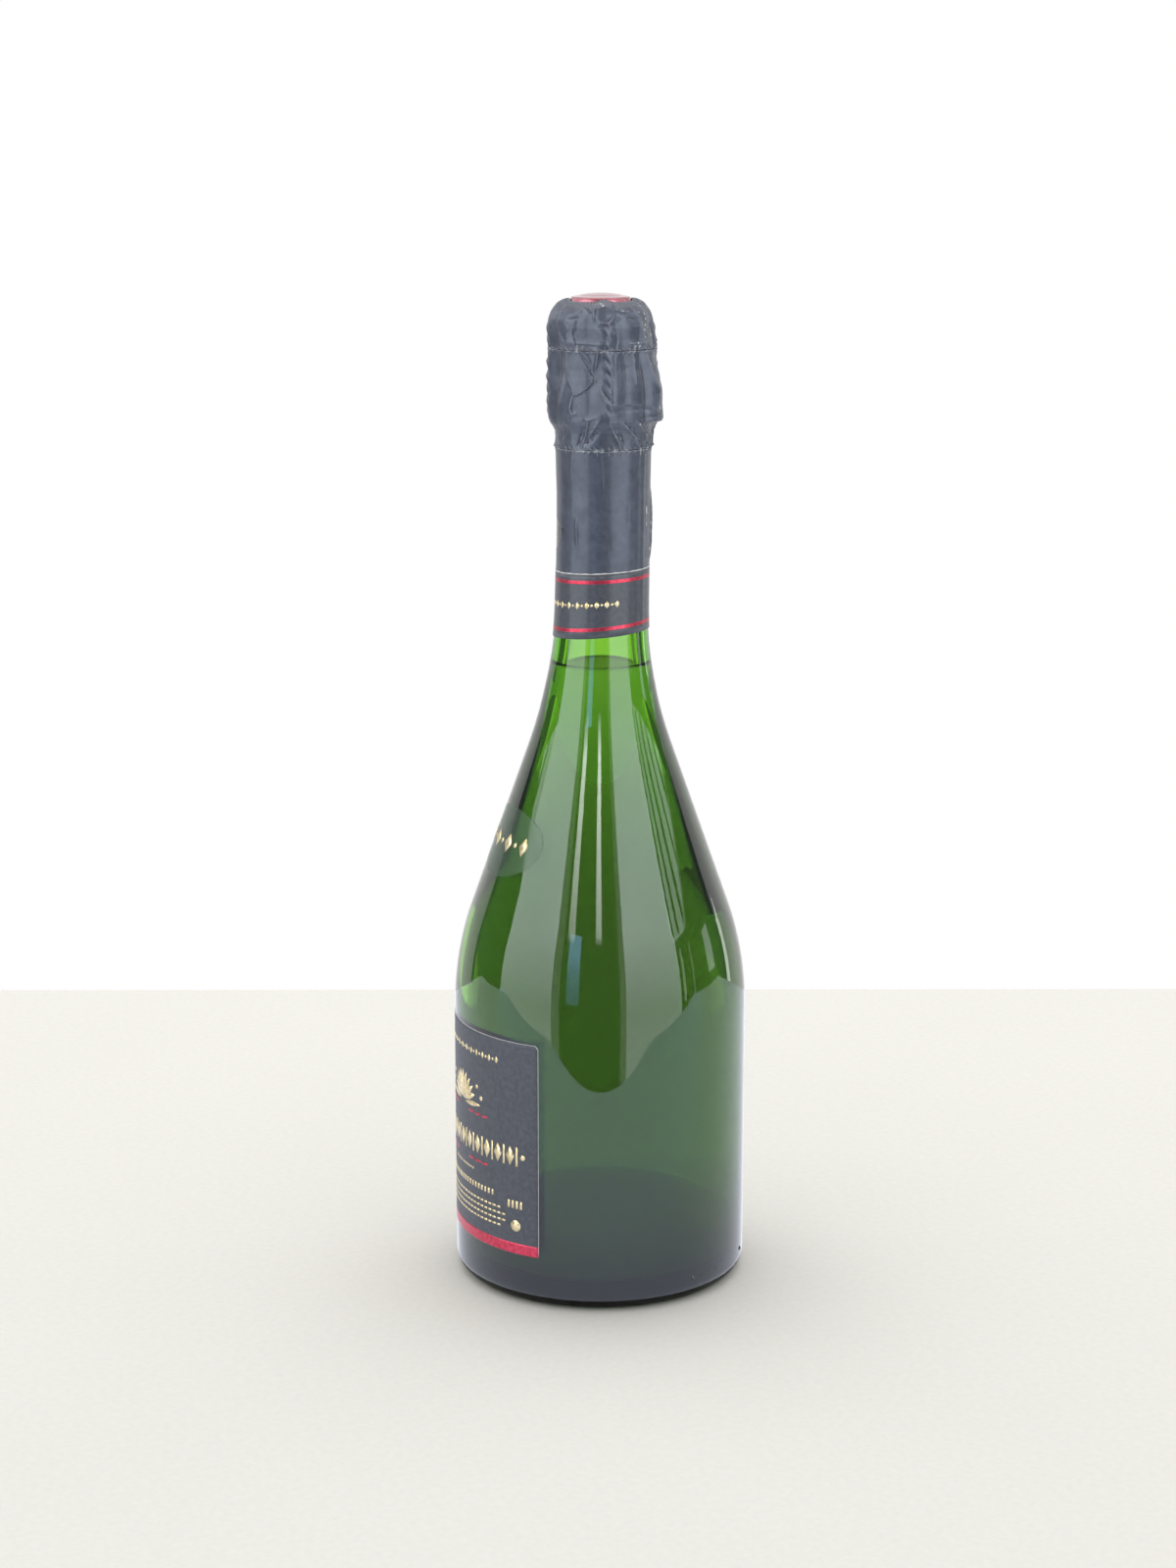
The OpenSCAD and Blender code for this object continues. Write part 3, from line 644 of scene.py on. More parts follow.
def plaqueSurface(p):
    # turned outline of the sheet; near each leg the flange goes in by notch exp(-(d / 1.2)^2), d in mm
    c = hood["channel"]
    r = np.linspace(0.4, 10, 20)
    top = np.vstack([np.stack([r, p["dome"] - r * r / 84 - 0.12 * np.exp(-((r - 8.2) / 0.5) ** 2)], -1),
                     rounded(np.array([[10.3, p["dome"] - 1.3], [10.7, p["dome"] - 2], [10.9, c + 0.4],
                                       [11.2, c], [12, c - 0.12], [13, c - 0.7], [14.1, c - 1.7],
                                       [14.8, c - 2.8], [15, c - 3.6]]))])
    under = (top - p["sheet"] * leftOf(np.gradient(top, axis=0)))[::-1]
    loop = np.vstack([top, under])
    angles = np.arange(p["turns"]) * 360 / p["turns"]
    off = np.radians(np.abs(offBy(angles, hood["legTurn"], 90)))
    grid = turned(loop[:, 0], loop[:, 1], angles)
    flange = part(loop[:, 0], 12.6, 1.2)[:, None]
    depth = p["notch"] * flange * np.exp(-((off[None, :] * 14) / 1.2) ** 2)
    return grid + depth[..., None] * polar(-0.75, np.radians(angles), -0.66)[None]


plaqueSheet = closedGrid("plaqueSheet", plaqueSurface(plaque), False)
# Tinplate with a clear red lacquer: bright, a little orange-peeled, with pale rings on its top and deeper red
# towards its edge
redPlaque, tree, sockets = newFinish("redLacqueredTinplate", {
    "Metallic": 0.55, "Roughness": 0.3, "Coat Weight": 0.7, "Coat Roughness": 0.12})
where = addNode(tree, "TexCoord", out="Object")
level = addNode(tree, "VectorMath", {"operation": "MULTIPLY", 0: where, 1: (1, 1, 0)})
fromAxis = addNode(tree, "VectorMath", {"operation": "LENGTH", 0: level}, "Value")
outTo16 = addNode(tree, "Math", {"operation": "MULTIPLY", 0: fromAxis, 1: 62.5})   # 1 at 16 mm
rings = addNode(tree, "ValToRGB", {"Fac": outTo16}, 0, sockets["Base Color"])
rings.node.color_ramp.interpolation = "CONSTANT"
setStops(rings, (0.0, "#A58C8E"), (0.2, "#A5747B"), (0.42, "#B5A2A2"), (0.455, "#9E6870"),
         (0.5, "#B8A8A8"), (0.53, "#934652"), (0.66, "#752934"))
peel = addNode(tree, "TexNoise", {"Scale": 1500.0, "Vector": where})
addNode(tree, "Bump", {"Strength": 0.08, "Distance": 0.0001, "Height": peel}, 0, sockets["Normal"])
place(plaqueSheet, "muselet", "plaque_paint", redPlaque, "cap_plaque")
print("plaque")


# Wire hood: four twisted legs, each with an eye round the belt
def legMiddle(u):
    # middle line of a leg in section, u from 0 at the top ring to 1 at the belt
    return curveThrough(hood["line"], (len(hood["line"]) - 1) * u) + [0, hood["lip"]]


def legStrand(side):
    # a strand winds round the leg's line: out by pair cos(t), along the belt by pair sin(t)
    u = np.linspace(0, 1, 24 * hood["turns"] + 1)
    line = legMiddle(u)
    out = leftOf(np.gradient(line, axis=0))
    t = np.radians(90 + side + (360 * hood["turns"] - 90) * u)
    flat = line + hood["pair"] * np.cos(t)[:, None] * out
    return np.stack([flat[:, 0], hood["pair"] * np.sin(t), flat[:, 1]], -1)


def cagePath():
    # ring quarter, down one strand, round the eye, up the other, four times over
    eyeRadius = hood["beltWire"] + hood["wire"] + 0.05
    a = np.radians(np.arange(30, -291, -20))
    eye = np.stack([hood["beltRadius"] + eyeRadius * np.cos(a), 0 * a,
                    hood["beltHeight"] + eyeRadius * np.sin(a)], -1)
    leg = np.vstack([legStrand(0), eye, legStrand(180)[::-1]])[::-1]
    q = np.radians(np.linspace(9, 81, 25))
    level = hood["channel"] + hood["wire"] + 0.1
    quarter = polar(hood["topRing"], q, level)
    return np.vstack([spun(np.vstack([leg, quarter]), hood["legTurn"] + 90 * k) for k in range(4)])


def beltPath():
    # once round the neck, both ends led out to the eyelet
    r, height = hood["beltRadius"], hood["beltHeight"]
    turnRound = polar(r, np.radians(np.linspace(5, 355, 141)), height)
    ends = [[r + 2.1, hood["stemPair"], height], [r + 1, 0.8, height]]
    other = [[x, -y, z] for x, y, z in ends[::-1]]
    return spun(np.vstack([ends, turnRound, other]), hood["eyelet"])


def eyeletPath():
    # two strands stemPair from their middle, turned by stemTwist over the stem's height, then a loop;
    # the whole leans in by lean for each millimetre up
    h = hood
    i = np.linspace(0, 1, 43)

    def stem(side):
        a = np.radians(side + h["stemTwist"] * i)
        coil = np.stack([h["pivot"] + h["stemPair"] * np.sin(a), h["stemPair"] * np.cos(a),
                         h["beltHeight"] + h["stemFoot"] + (h["stem"] - h["stemFoot"]) * i], -1)
        foot = [h["pivot"], h["stemPair"] * math.cos(math.radians(side)), h["beltHeight"]]
        return np.vstack([foot, coil])

    a = np.radians(np.linspace(-60, 240, 46))
    top = h["beltHeight"] + h["stem"] + h["loop"] + 1.1
    loop = np.stack([h["pivot"] + 0 * a, h["loop"] * np.cos(a), top + h["loop"] * np.sin(a)], -1)
    path = np.vstack([stem(180), loop, stem(0)[::-1]])
    path[:, 0] += h["leanFoot"] - h["lean"] * (path[:, 2] - h["beltHeight"])
    return spun(path, h["eyelet"])


# Drawn steel wire, tinned: grey, its gloss and surface faintly scuffed at random
tinnedWire, tree, sockets = newFinish("tinnedSteelWire", {
    "Base Color": toLinear("#B4B5B8"), "Metallic": 1.0, "Roughness": 0.32})
where = addNode(tree, "TexCoord", out="Object")
scuff = addNode(tree, "TexNoise", {"Scale": 700.0, "Detail": 4.0, "Vector": where})
addNode(tree, "MapRange", {0: scuff, 3: 0.22, 4: 0.5}, 0, sockets["Roughness"])
addNode(tree, "Bump", {"Strength": 0.25, "Distance": 0.00005, "Height": scuff}, 0, sockets["Normal"])
place(tube("cageWire", cagePath(), hood["wire"], 10), "muselet", "wire", tinnedWire, "cage_wire")
place(tube("beltWire", beltPath(), hood["beltWire"], 12), "muselet", "wire", tinnedWire, "belt_wire")
place(tube("beltEyelet", eyeletPath(), hood["beltWire"], 12), "eyelet", "wire", tinnedWire, "belt_eyelet")
print("wire hood")

# Foil: one crumpled skin in three pieces, parted at the lines of perforations
foil = {
    "sheet": 0.2, "tearLow": 270.5, "tearHigh": 301.0, "skirtLow": 224.0, "columns": 480,
    "reach": 16.5,          # radius at which degrees are turned to millimetres for the folds
    "seenSide": -21.5,      # the photograph shows the foil this way, and this far to either side
    "seenHalf": 75.0,
    "leaf": 0.55,           # how proud the folded leaf lies
    "bulge": 19.9,          # radius over the folded eyelet
    # radii of the tear strip by height
    "skinAt": [270.6, 273.5, 275.5, 276.9, 278, 279.3, 281.5, 285, 288.5, 291, 295, 300.9],
    "overLegs": [14.95, 15.05, 15.4, 16.2, 17.1, 17.7, 18.2, 18.32, 18.3, 18.1, 17.7, 17.4],
    "betweenLegs": [14.95, 15.0, 15.2, 15.6, 16.1, 16.45, 16.6, 16.6, 16.55, 16.2, 15.5, 15.45],
    "bulgeAt": [277.4, 278.2, 278.8, 279.8, 281.5, 285, 288.5, 291, 295, 300.9],
    "bulgeShare": [0, 0.1, 0.86, 1, 1, 0.96, 0.9, 0.8, 0.62, 0.3],
}
rng = np.random.default_rng(7)
# from direction, height to direction, height: rise in mm (a fall is below 0) and half width in mm
seenFolds = [
    (0.5, 0.3, ((-57.7, 287.1), (-59.8, 284.4), (-60.5, 282.7), (-57.7, 281.6), (-54, 281.8))),
    (-0.5, 0.35, ((-5.8, 308.9), (-4.6, 304.3), (-8.7, 301), (-11.5, 297), (-11.9, 285.4))),
    (-0.4, 0.5, ((-11.5, 282.6), (-4, 283.3), (16.4, 283.4), (34.6, 282.7), (42.4, 281.7))),
    (0.22, 0.8, ((-10.9, 284.4), (8.3, 284.9), (32.6, 284.1))),
    (0.15, 0.5, ((-1.6, 297), (-1.6, 290.3))), (0.22, 0.4, ((19.3, 300.4), (20, 290.7))),
    (-0.22, 0.6, ((4.5, 296.1), (10.9, 295.8))),
    (-0.6, 0.45, ((-42.9, 280.1), (-43.9, 277.6), (-48.2, 274.7), (-54, 271.9))),
    (0.4, 0.45, ((-38.8, 279.3), (-43.3, 274.7), (-48.2, 271.7))),
    (-0.65, 0.45, ((-21.1, 280.3), (-25.6, 277.7), (-33.9, 274.8), (-44, 272))),
    (0.4, 0.5, ((-24.5, 280.8), (-31.3, 277.7), (-39.2, 274.8))),
    (0.4, 0.4, ((-14.4, 278.7), (-6.9, 274.8), (-0.1, 271.4))),
    (-0.35, 0.4, ((-10.9, 279.4), (-2.2, 275.4), (4, 272))),
    (0.5, 0.4, ((2, 278.6), (12.9, 275.9), (19.3, 274.5), (28.4, 270.6))),
    (-0.4, 0.4, ((5.1, 278.7), (16.9, 276.2), (24.6, 274), (33.7, 270.8))),
    (-0.5, 0.35, ((25.5, 279.7), (32.6, 277), (49.1, 273.8))),
    (0.3, 0.4, ((20, 279), (37.2, 275.8), (41.1, 273))),
    (-0.4, 0.45, ((-63.5, 280), (-69.9, 277.2), (-79.7, 273.8))),
    (0.35, 0.35, ((-46.6, 280), (-37, 280.2), (-27.9, 280.9))),
    (0.32, 0.4, ((-69, 303.3), (-39.3, 303.4), (-29, 303.2), (-13.2, 303.3))),
    (0.38, 0.4, ((13.6, 303.2), (36.6, 303.1))), (-0.3, 0.3, ((-63.5, 310.8), (-49.1, 311.2))),
    (-0.5, 0.4, ((-4, 310.7), (1.4, 310.7))), (-0.3, 0.35, ((13.6, 310.9), (25.5, 310.4))),
    (-0.5, 0.35, ((-4.2, 315.5), (-4, 310.9))),
    (0.4, 0.35, ((-7.3, 315.3), (-5.8, 313.2), (-6.6, 311.2), (-13.2, 309.5), (-22.2, 309.8),
                 (-25.6, 311.2))),
    (0.3, 0.35, ((-25.6, 311.2), (-24.5, 313.7), (-17.7, 314.5), (-8.7, 314.3))),
    (0.5, 0.3, ((-30.1, 314.7), (-29.4, 310.6))), (0.35, 0.35, ((-42.9, 314.3), (-31.3, 313.3))),
    (0.4, 0.35, ((-54.3, 312.4), (-44.1, 313.1), (-33.5, 312.1))),
    (-0.3, 0.5, ((-50.4, 310.8), (-54.3, 306.1))),
    (0.35, 0.5, ((-26.2, 307.9), (-18.9, 306), (-12.7, 304.3))),
    (0.45, 0.4, ((-44.1, 300.4), (-35.8, 297.5))),
    (0.4, 0.4, ((-35.3, 302), (-25.6, 301), (-28.8, 297), (-30.7, 294.5))),
    (0.35, 0.4, ((-24.5, 290.4), (-22.2, 287.8), (-18.9, 285.4), (-20, 282.1))),
    (0.3, 0.4, ((-77.1, 314.1), (-80.3, 308.4), (-70.7, 301.9), (-70.7, 295.2), (-77.1, 285.1))),
    (-0.35, 0.4, ((-83, 311.6), (-78.2, 303.1), (-72.1, 300.5))),
    (0.4, 0.5, ((18.6, 314.9), (30.7, 310.5), (34.6, 303.1), (38.8, 295), (46.6, 288.1), (41.2, 281.5))),
    (0.3, 0.5, ((-13.2, 291.7), (-14.4, 287.7), (-13.2, 283.7))),
    (-0.25, 0.5, ((-28.4, 292.4), (-33.5, 290.4))),
    (-0.3, 0.7, ((-25.9, 268.5), (-23, 254.2))), (0.16, 0.7, ((-22.5, 270), (-20.5, 256))),
    (0.25, 0.4, ((-56.4, 248.9), (-54.7, 240.5))), (0.3, 0.6, ((-60, 270), (-63, 262))),
    (0.5, 0.8, ((67.6, 256), (60.7, 236))),
]


def alongFolds(angle, height, folds):
    # every fold adds 1.6 rise * exp(-distance to its line / 1.5 half widths), a little less towards its ends
    x, rise = np.radians(angle) * foil["reach"], np.zeros(np.broadcast(angle, height).shape)
    full = 2 * math.pi * foil["reach"]
    for tall, wide, line in folds:
        away, part = np.full(rise.shape, 99.0), np.zeros(rise.shape)
        for i, ((a0, z0), (a1, z1)) in enumerate(zip(line[:-1], line[1:])):
            ux, uz = math.radians(a1 - a0) * foil["reach"], z1 - z0
            dx = offBy(x, math.radians(a0) * foil["reach"], full)
            t = np.clip((dx * ux + (height - z0) * uz) / (ux * ux + uz * uz), 0, 1)
            d = np.hypot(dx - t * ux, height - z0 - t * uz)
            part = np.where(d < away, (i + t) / (len(line) - 1), part)
            away = np.minimum(away, d)
        rise += 1.6 * tall * np.exp(-away / (1.5 * wide)) * np.clip(1.4 - 0.9 * np.abs(2 * part - 1), 0.45, 1)
    return rise


def randomFolds(count, low, high, length, steep, rise, wide, clear):
    # straight folds from random places, mostly on the sides that the photograph doesn't show: each goes
    # down by size cos(tilt) and round by size sin(tilt)
    a = rng.uniform(0, 360, count)
    z = rng.uniform(low, high, count)
    tilt = rng.uniform(-steep, steep, count)
    size = length * rng.uniform(0.5, 1.3, count)
    tall = rise * rng.uniform(0.4, 1.0, count) * rng.choice([-1, 1], count)
    seen = np.abs(offBy(a, foil["seenSide"])) < foil["seenHalf"]
    tall = np.where(seen, tall * clear, tall)
    da = np.degrees(size * np.sin(tilt) / foil["reach"])
    dz = size * np.cos(tilt)
    return [(tall[i], wide * (0.7 + 0.3 * (i % 3)), ((a[i], z[i]), (a[i] + da[i], z[i] - dz[i])))
            for i in range(count)]


def legRidge(angle):
    # cos^2, 1 over a leg and 0 from 22.5 degrees to either side
    off = np.abs(offBy(angle, hood["legTurn"], 90))
    return np.where(off < 22.5, np.cos(np.radians(4 * off)) ** 2, 0)


def twistPrint(angle, height, top):
    # the legs' strands press through as slanting bars, 3.7 mm apart along the leg:
    # 0.2 cos(2 pi (height / 3.7 + off / 3.2)) exp(-(off / 1.25)^2), off in mm beside the leg at radius 17
    off = np.radians(offBy(angle, hood["legTurn"], 90)) * 17
    bars = np.cos(2 * np.pi * (height / 3.7 + off / 3.2))
    return 0.2 * bars * np.exp(-(off / 1.25) ** 2) * part(height, 280, 3) * part(height, top, -4)


def tearTeeth(angle, height, edge, side):
    # slanting lips every 7.2 degrees beside a line of perforations:
    # 0.28 cos(50 (angle + 3 away))^3 exp(-(away / 0.9)^2), away in mm from the line
    away = side * (height - edge)
    bars = np.clip(np.cos(np.radians((angle + away * 3.0) * 50)), 0, 1) ** 3
    return 0.28 * bars * np.exp(-(np.clip(away, 0, None) / 0.9) ** 2)


def shellFrom(name, outer, count=14):
    # outer (rows, cols, 3) gets an inner face one sheet behind it, with fewer rows, and both edges
    du = np.gradient(outer, axis=0)
    dv = np.roll(outer, -1, 1) - np.roll(outer, 1, 1)
    normal = np.cross(dv, du)
    normal /= np.linalg.norm(normal, axis=-1)[..., None] + 1e-12
    mid = outer.reshape(-1, 3)
    if np.einsum("ij,ij->i", normal.reshape(-1, 3)[:, :2], mid[:, :2]).sum() < 0:
        normal = -normal
    inner = outer - foil["sheet"] * normal
    keep = np.unique(np.linspace(0, len(outer) - 1, count).astype(int))
    return closedGrid(name, np.concatenate([outer, inner[keep][::-1]]), True)


angles = np.arange(foil["columns"]) * 360 / foil["columns"]
crumple = (randomFolds(150, 272, 314, 7, 1.3, 0.4, 0.7, 0.16)
           + randomFolds(46, 270, 281, 8, 0.7, 0.5, 0.7, 0.1))
folds = seenFolds + crumple


def besideEyelet(angle):
    # cos(90 d)^0.7 within 24 degrees of the folded eyelet
    d = offBy(angle, hood["eyelet"]) / 24
    return np.where(np.abs(d) < 1, np.clip(np.cos(np.radians(90 * d)), 0, 1) ** 0.7, 0)


# left and right edge, in degrees, of a leaf of foil folded flat over the hood's seam
leafEdge = np.array([(287, -56, -54), (288.2, -58.7, -45.4), (289.6, -61.3, -39.3), (291.6, -67.1, -33.3),
                     (293.2, -69.9, -32.6), (295.5, -70.2, -39.9), (298.8, -69.9, -46), (301.4, -69, -50.4),
                     (305.4, -67.1, -55), (308, -58.4, -56.3)])


def leaf(angle, height):
    # the leaf's height over the skin: full from 0.35 mm inside its edge, fading at both ends
    a = offBy(angle, 0)
    left, right = (np.interp(height, leafEdge[:, 0], leafEdge[:, k]) for k in (1, 2))
    inside = np.radians(np.minimum(a - left, right - a)) * foil["reach"]
    return foil["leaf"] * part(inside, 0, 0.35) * part(height, 287, 0.6) * part(height, 308, -4)


def stripSurface():
    # radius of the skin: between the legs, more over a leg and over the folded eyelet, then the folds,
    # the leaf, the twist's print and the torn edges on top
    height = np.linspace(foil["tearHigh"] - 0.1, foil["tearLow"] + 0.1, 130)[:, None]
    a = angles[None, :]
    ridge = legRidge(a)
    low = np.interp(height, foil["skinAt"], foil["betweenLegs"])
    skin = low + ridge * (np.interp(height, foil["skinAt"], foil["overLegs"]) - low)
    swollen = besideEyelet(a) * np.interp(height, foil["bulgeAt"], foil["bulgeShare"])
    r = np.maximum(skin, low + swollen * (foil["bulge"] - low))
    held = np.maximum(ridge, np.exp(-((height - hood["beltHeight"]) / 1.6) ** 4))
    rise = alongFolds(a, height, folds)
    r = r + np.clip(rise, -0.06 - 0.5 * (1 - held), 1.1) + leaf(a, height) + twistPrint(a, height, 303)
    r = r + tearTeeth(a, height, foil["tearHigh"], -1) + tearTeeth(a, height, foil["tearLow"], 1)
    return turned(r, height + 0 * a, angles)


def hoodSurface():
    # from the opening over the wire ring, down the side; each row's point over a leg and between legs
    u = np.array([0.04, 0.09, 0.14, 0.2, 0.28, 0.38, 0.5, 0.58])
    slope = legMiddle(u + 0.005) - legMiddle(u - 0.005)
    over = np.vstack([[[11.0, 316.45]], legMiddle(u) + 1.33 * leftOf(slope)])
    over[-1, 1] = 301.1
    between = np.array([[11.0, 315.6], [12.1, 315.4], [13.35, 314.65], [14.35, 313.65], [15.2, 312.4],
                        [15.6, 310.8], [15.6, 308.5], [15.4, 304.5], [15.45, 301.1]])
    places = np.linspace(0, 8, 104)
    top, low = curveThrough(over, places), curveThrough(between, places)
    a = angles[None, :]
    ridge = legRidge(a)[..., None]
    flat = low[:, None] + ridge * (top - low)[:, None]
    swollen = besideEyelet(a) * part(flat[..., 1], 309, -8) * 0.3
    flat[..., 0] = np.maximum(flat[..., 0], low[:, None, 0] + swollen * (foil["bulge"] - low[:, None, 0]))
    r, height = flat[..., 0], flat[..., 1]
    rise = alongFolds(a, height, folds) + leaf(a, height)
    pleats = 0.14 * np.cos(np.radians(angles * 64))[None, :] * np.exp(-((r - 12.4) / 1.1) ** 2)
    rise = np.clip(rise, -0.06 - 0.45 * (1 - ridge[..., 0]), 0.8) * part(r, 12.2, 1.6) + pleats
    rise = rise + twistPrint(a, height, 311) + tearTeeth(a, height, foil["tearHigh"], 1)
    flat = flat + rise[..., None] * leftOf(np.gradient(flat, axis=0))
    flat[..., 0] = np.maximum(flat[..., 0], 10.95)
    return turned(flat[..., 0], flat[..., 1], angles)


def skirtSurface():
    # the neck's radius, 0.45 mm looser towards the top, with the faint folds and a lapped seam
    height = np.linspace(foil["tearLow"] - 0.1, foil["skirtLow"], 110)[:, None]
    a = angles[None, :]
    rise = alongFolds(a, height, seenFolds + randomFolds(14, 236, 268, 9, 0.5, 0.14, 0.7, 0.4))
    r = glassRadius(height) + foil["sheet"] + 0.03 + part(height, 256, 15) * 0.45
    rise = np.clip(rise, -0.1, 0.8) * part(height, 233, 3)
    seam = 0.1 * (1 - part(np.abs(offBy(a, 62)), 0, 1.2))
    return turned(r + rise + seam + tearTeeth(a, height, foil["tearLow"], -1), height + 0 * a, angles)


# Polylaminate hood foil: aluminium skin under a dark blue-grey satin lacquer, fine rolled grain,
# lacquer rubbed paler on the sharpest folds
satinFoil, tree, sockets = newFinish("satinLacqueredFoil", {
    "Metallic": 0.15, "Roughness": 0.45, "Specular IOR Level": 0.2, "Coat Weight": 0.35,
    "Coat Roughness": 0.14})
where = addNode(tree, "TexCoord", out="Object")
edge = addNode(tree, "NewGeometry", out="Pointiness")
mottle = addNode(tree, "TexNoise", {"Scale": 240.0, "Detail": 5.0, "Roughness": 0.6, "Vector": where})
tone = setStops(addNode(tree, "ValToRGB", {"Fac": mottle}), (0.35, "#3E4350"), (0.7, "#4F5462"))
# painted shade: darker where the skin bends in
creaseShade = addNode(tree, "MapRange", {0: edge, 1: 0.498, 2: 0.44, 3: 0.0, 4: 0.85})
# painted highlight: paler where the skin bends out sharply
ridge = addNode(tree, "MapRange", {0: edge, 1: 0.503, 2: 0.55, 3: 0.0, 4: 0.3})
worn = addNode(tree, "MapRange", {0: edge, 1: 0.53, 2: 0.62})
patch = addNode(tree, "TexNoise", {"Scale": 330.0, "Detail": 2.0, "Vector": where})
rubbed = addNode(tree, "MapRange", {0: patch, 1: 0.48, 2: 0.6})
wornRubbed = addNode(tree, "Math", {"operation": "MULTIPLY", 0: worn, 1: rubbed})
# painted shade darkens the hollows and a painted highlight pales the ridges; palest where the lacquer is
# rubbed off
for share, colour in ((creaseShade, "#1E2129"), (ridge, "#8A8D96"), (wornRubbed, "#C4C5C8")):
    tone = addNode(tree, "Mix", {"data_type": "RGBA", 0: share, 6: tone, 7: toLinear(colour)}, 2)
tree.links.new(tone, sockets["Base Color"])
fine = addNode(tree, "TexNoise", {"Scale": 1400.0, "Detail": 4.0, "Vector": where})
soft = addNode(tree, "Bump", {"Strength": 0.35, "Distance": 0.0004, "Height": mottle})
addNode(tree, "Bump", {"Strength": 0.12, "Distance": 0.0001, "Height": fine, "Normal": soft}, 0,
        sockets["Normal"])
place(shellFrom("foilHood", hoodSurface()), "hood", "foil", satinFoil, "foil_hood")
place(shellFrom("foilTearStrip", stripSurface()), "tear_strip", "foil", satinFoil, "foil_tear_strip")
place(shellFrom("foilSkirt", skirtSurface(), 8), "bottle", "foil", satinFoil, "foil_skirt")
print("foil")

# Paper: collar, front label and clear oval, wrapped on the glass
paper = {"sheet": 0.12, "front": -90.0}


collar = {"low": 211.9, "high": 232.1, "lowSlope": 0.089, "highSlope": 0.046, "stripe": 1.1,
          "lowStripe": 2.8, "highStripe": 2.6, "ornament": 222.3, "middleSlope": 0.067, "proud": 0.33,
          "reach": 15.2}


def collarEdge(which, a):
    # the band is wound askew: its edges rise towards the camera's right
    return collar[which] + collar[which + "Slope"] * collar["reach"] * np.cos(np.radians(a) - turn)


def collarPart(name, low, high, proud, thick=0.12, columns=360, rows=12):
    # a band all round between two edges, low(angle) and high(angle), its face proud of the glass
    a = np.arange(columns) * 360 / columns
    height = low(a) + np.linspace(0, 1, rows)[:, None] * (high(a) - low(a))
    outer = turned(glassRadius(height) + proud, height, a)
    inner = turned(glassRadius(height) + proud - thick, height, a)
    return closedGrid(name, np.concatenate([outer, inner[::-1]]), True)


def paperFinish(name, low, high, rough, sheen, varnish=0.0):
    # coated paper: flat print colour with a faint fibre fleck and a soft sheen
    finish, tree, sockets = newFinish(name, {"Roughness": rough, "Specular IOR Level": sheen,
                                             "Coat Weight": varnish, "Coat Roughness": 0.15})
    where = addNode(tree, "TexCoord", out="Object")
    fibre = addNode(tree, "TexNoise", {"Scale": 650.0, "Detail": 6.0, "Vector": where})
    setStops(addNode(tree, "ValToRGB", {"Fac": fibre}, 0, sockets["Base Color"]), (0.35, low), (0.7, high))
    addNode(tree, "Bump", {"Strength": 0.12, "Distance": 0.00008, "Height": fibre}, 0, sockets["Normal"])
    return finish


def hotFoil(name, low, high, rough):
    # hot-stamped metallic film: bright, with a faint break-up where it took unevenly
    finish, tree, sockets = newFinish(name, {"Metallic": 0.85, "Roughness": rough})
    where = addNode(tree, "TexCoord", out="Object")
    take = addNode(tree, "TexNoise", {"Scale": 900.0, "Detail": 3.0, "Vector": where})
    setStops(addNode(tree, "ValToRGB", {"Fac": take}, 0, sockets["Base Color"]), (0.35, low), (0.65, high))
    return finish


darkPaper = paperFinish("darkCoatedPaper", "#4B4E56", "#575A62", 0.5, 0.2)
collarPaper = paperFinish("darkVarnishedPaper", "#41444D", "#4C4F58", 0.5, 0.2, 0.35)
whitePaper = paperFinish("bareCutPaper", "#DCDCDC", "#F4F4F4", 0.8, 0.0)
redFilm = hotFoil("redHotStampedFilm", "#9E2C3B", "#B83D4E", 0.36)
goldFilm = hotFoil("goldHotStampedFilm", "#BFA877", "#DCCBA0", 0.32)


def cutEdge(a):
    # the collar's torn-looking upper edge: 0.16 + 0.08 sin(23a) sin(7a) above the band
    return collarEdge("high", a) + 0.16 + 0.08 * np.sin(np.radians(a * 23)) * np.sin(np.radians(a * 7))


collarBand = collarPart("collarBand", lambda a: collarEdge("low", a), lambda a: collarEdge("high", a),
                        collar["proud"])
place(collarBand, "bottle", "collar_paper", collarPaper, "collar_label")
collarCutEdge = collarPart("collarCutEdge", lambda a: collarEdge("high", a) - 0.12, cutEdge,
                           collar["proud"] + 0.05)
place(collarCutEdge, "bottle", "collar_paper", whitePaper)
half = collar["stripe"] / 2
for label, which, offset in (("collarStripeLow", "low", collar["lowStripe"]),
                             ("collarStripeHigh", "high", -collar["highStripe"])):
    place(collarPart(label, lambda a: collarEdge(which, a) + offset - half,
                     lambda a: collarEdge(which, a) + offset + half, collar["proud"] + 0.03, 0.06),
          "bottle", "collar_paper", redFilm)
print("collar")

# Front label: flat sheet coordinates are (x across, z height) in mm, wrapped round the body
label = {"width": 73.0, "height": 70.2, "low": 16.9, "corner": 0.9, "band": 3.5}


def onGlass(x, z, lift):
    # x millimetres round the glass from the label's middle, at height z, lifted off the glass
    r = glassRadius(z)
    return polar(r + lift, np.radians(paper["front"]) + x / r, z)


def onCollar(x, z, lift):
    # the same on the collar, whose middle line rises by middleSlope reach cos(a - turn)
    a = np.radians(paper["front"]) + x / collar["reach"]
    return polar(glassRadius(z) + lift, a, z + collar["middleSlope"] * collar["reach"] * np.cos(a - turn))


def sheetPatch(name, halfWidth, low, high, wrap, base, top, columns=72, rows=64):
    # a sheet whose half width is a function of height, with a top face, a back and edges
    z = np.linspace(low, high, rows)[:, None]
    x = halfWidth(z) * np.linspace(-1, 1, columns)[None, :]
    upper, lower = wrap(x, z + 0 * x, top), wrap(x, z + 0 * x, base)
    loop = np.concatenate([upper, lower[:, ::-1]], 1)
    return closedGrid(name, loop, False)


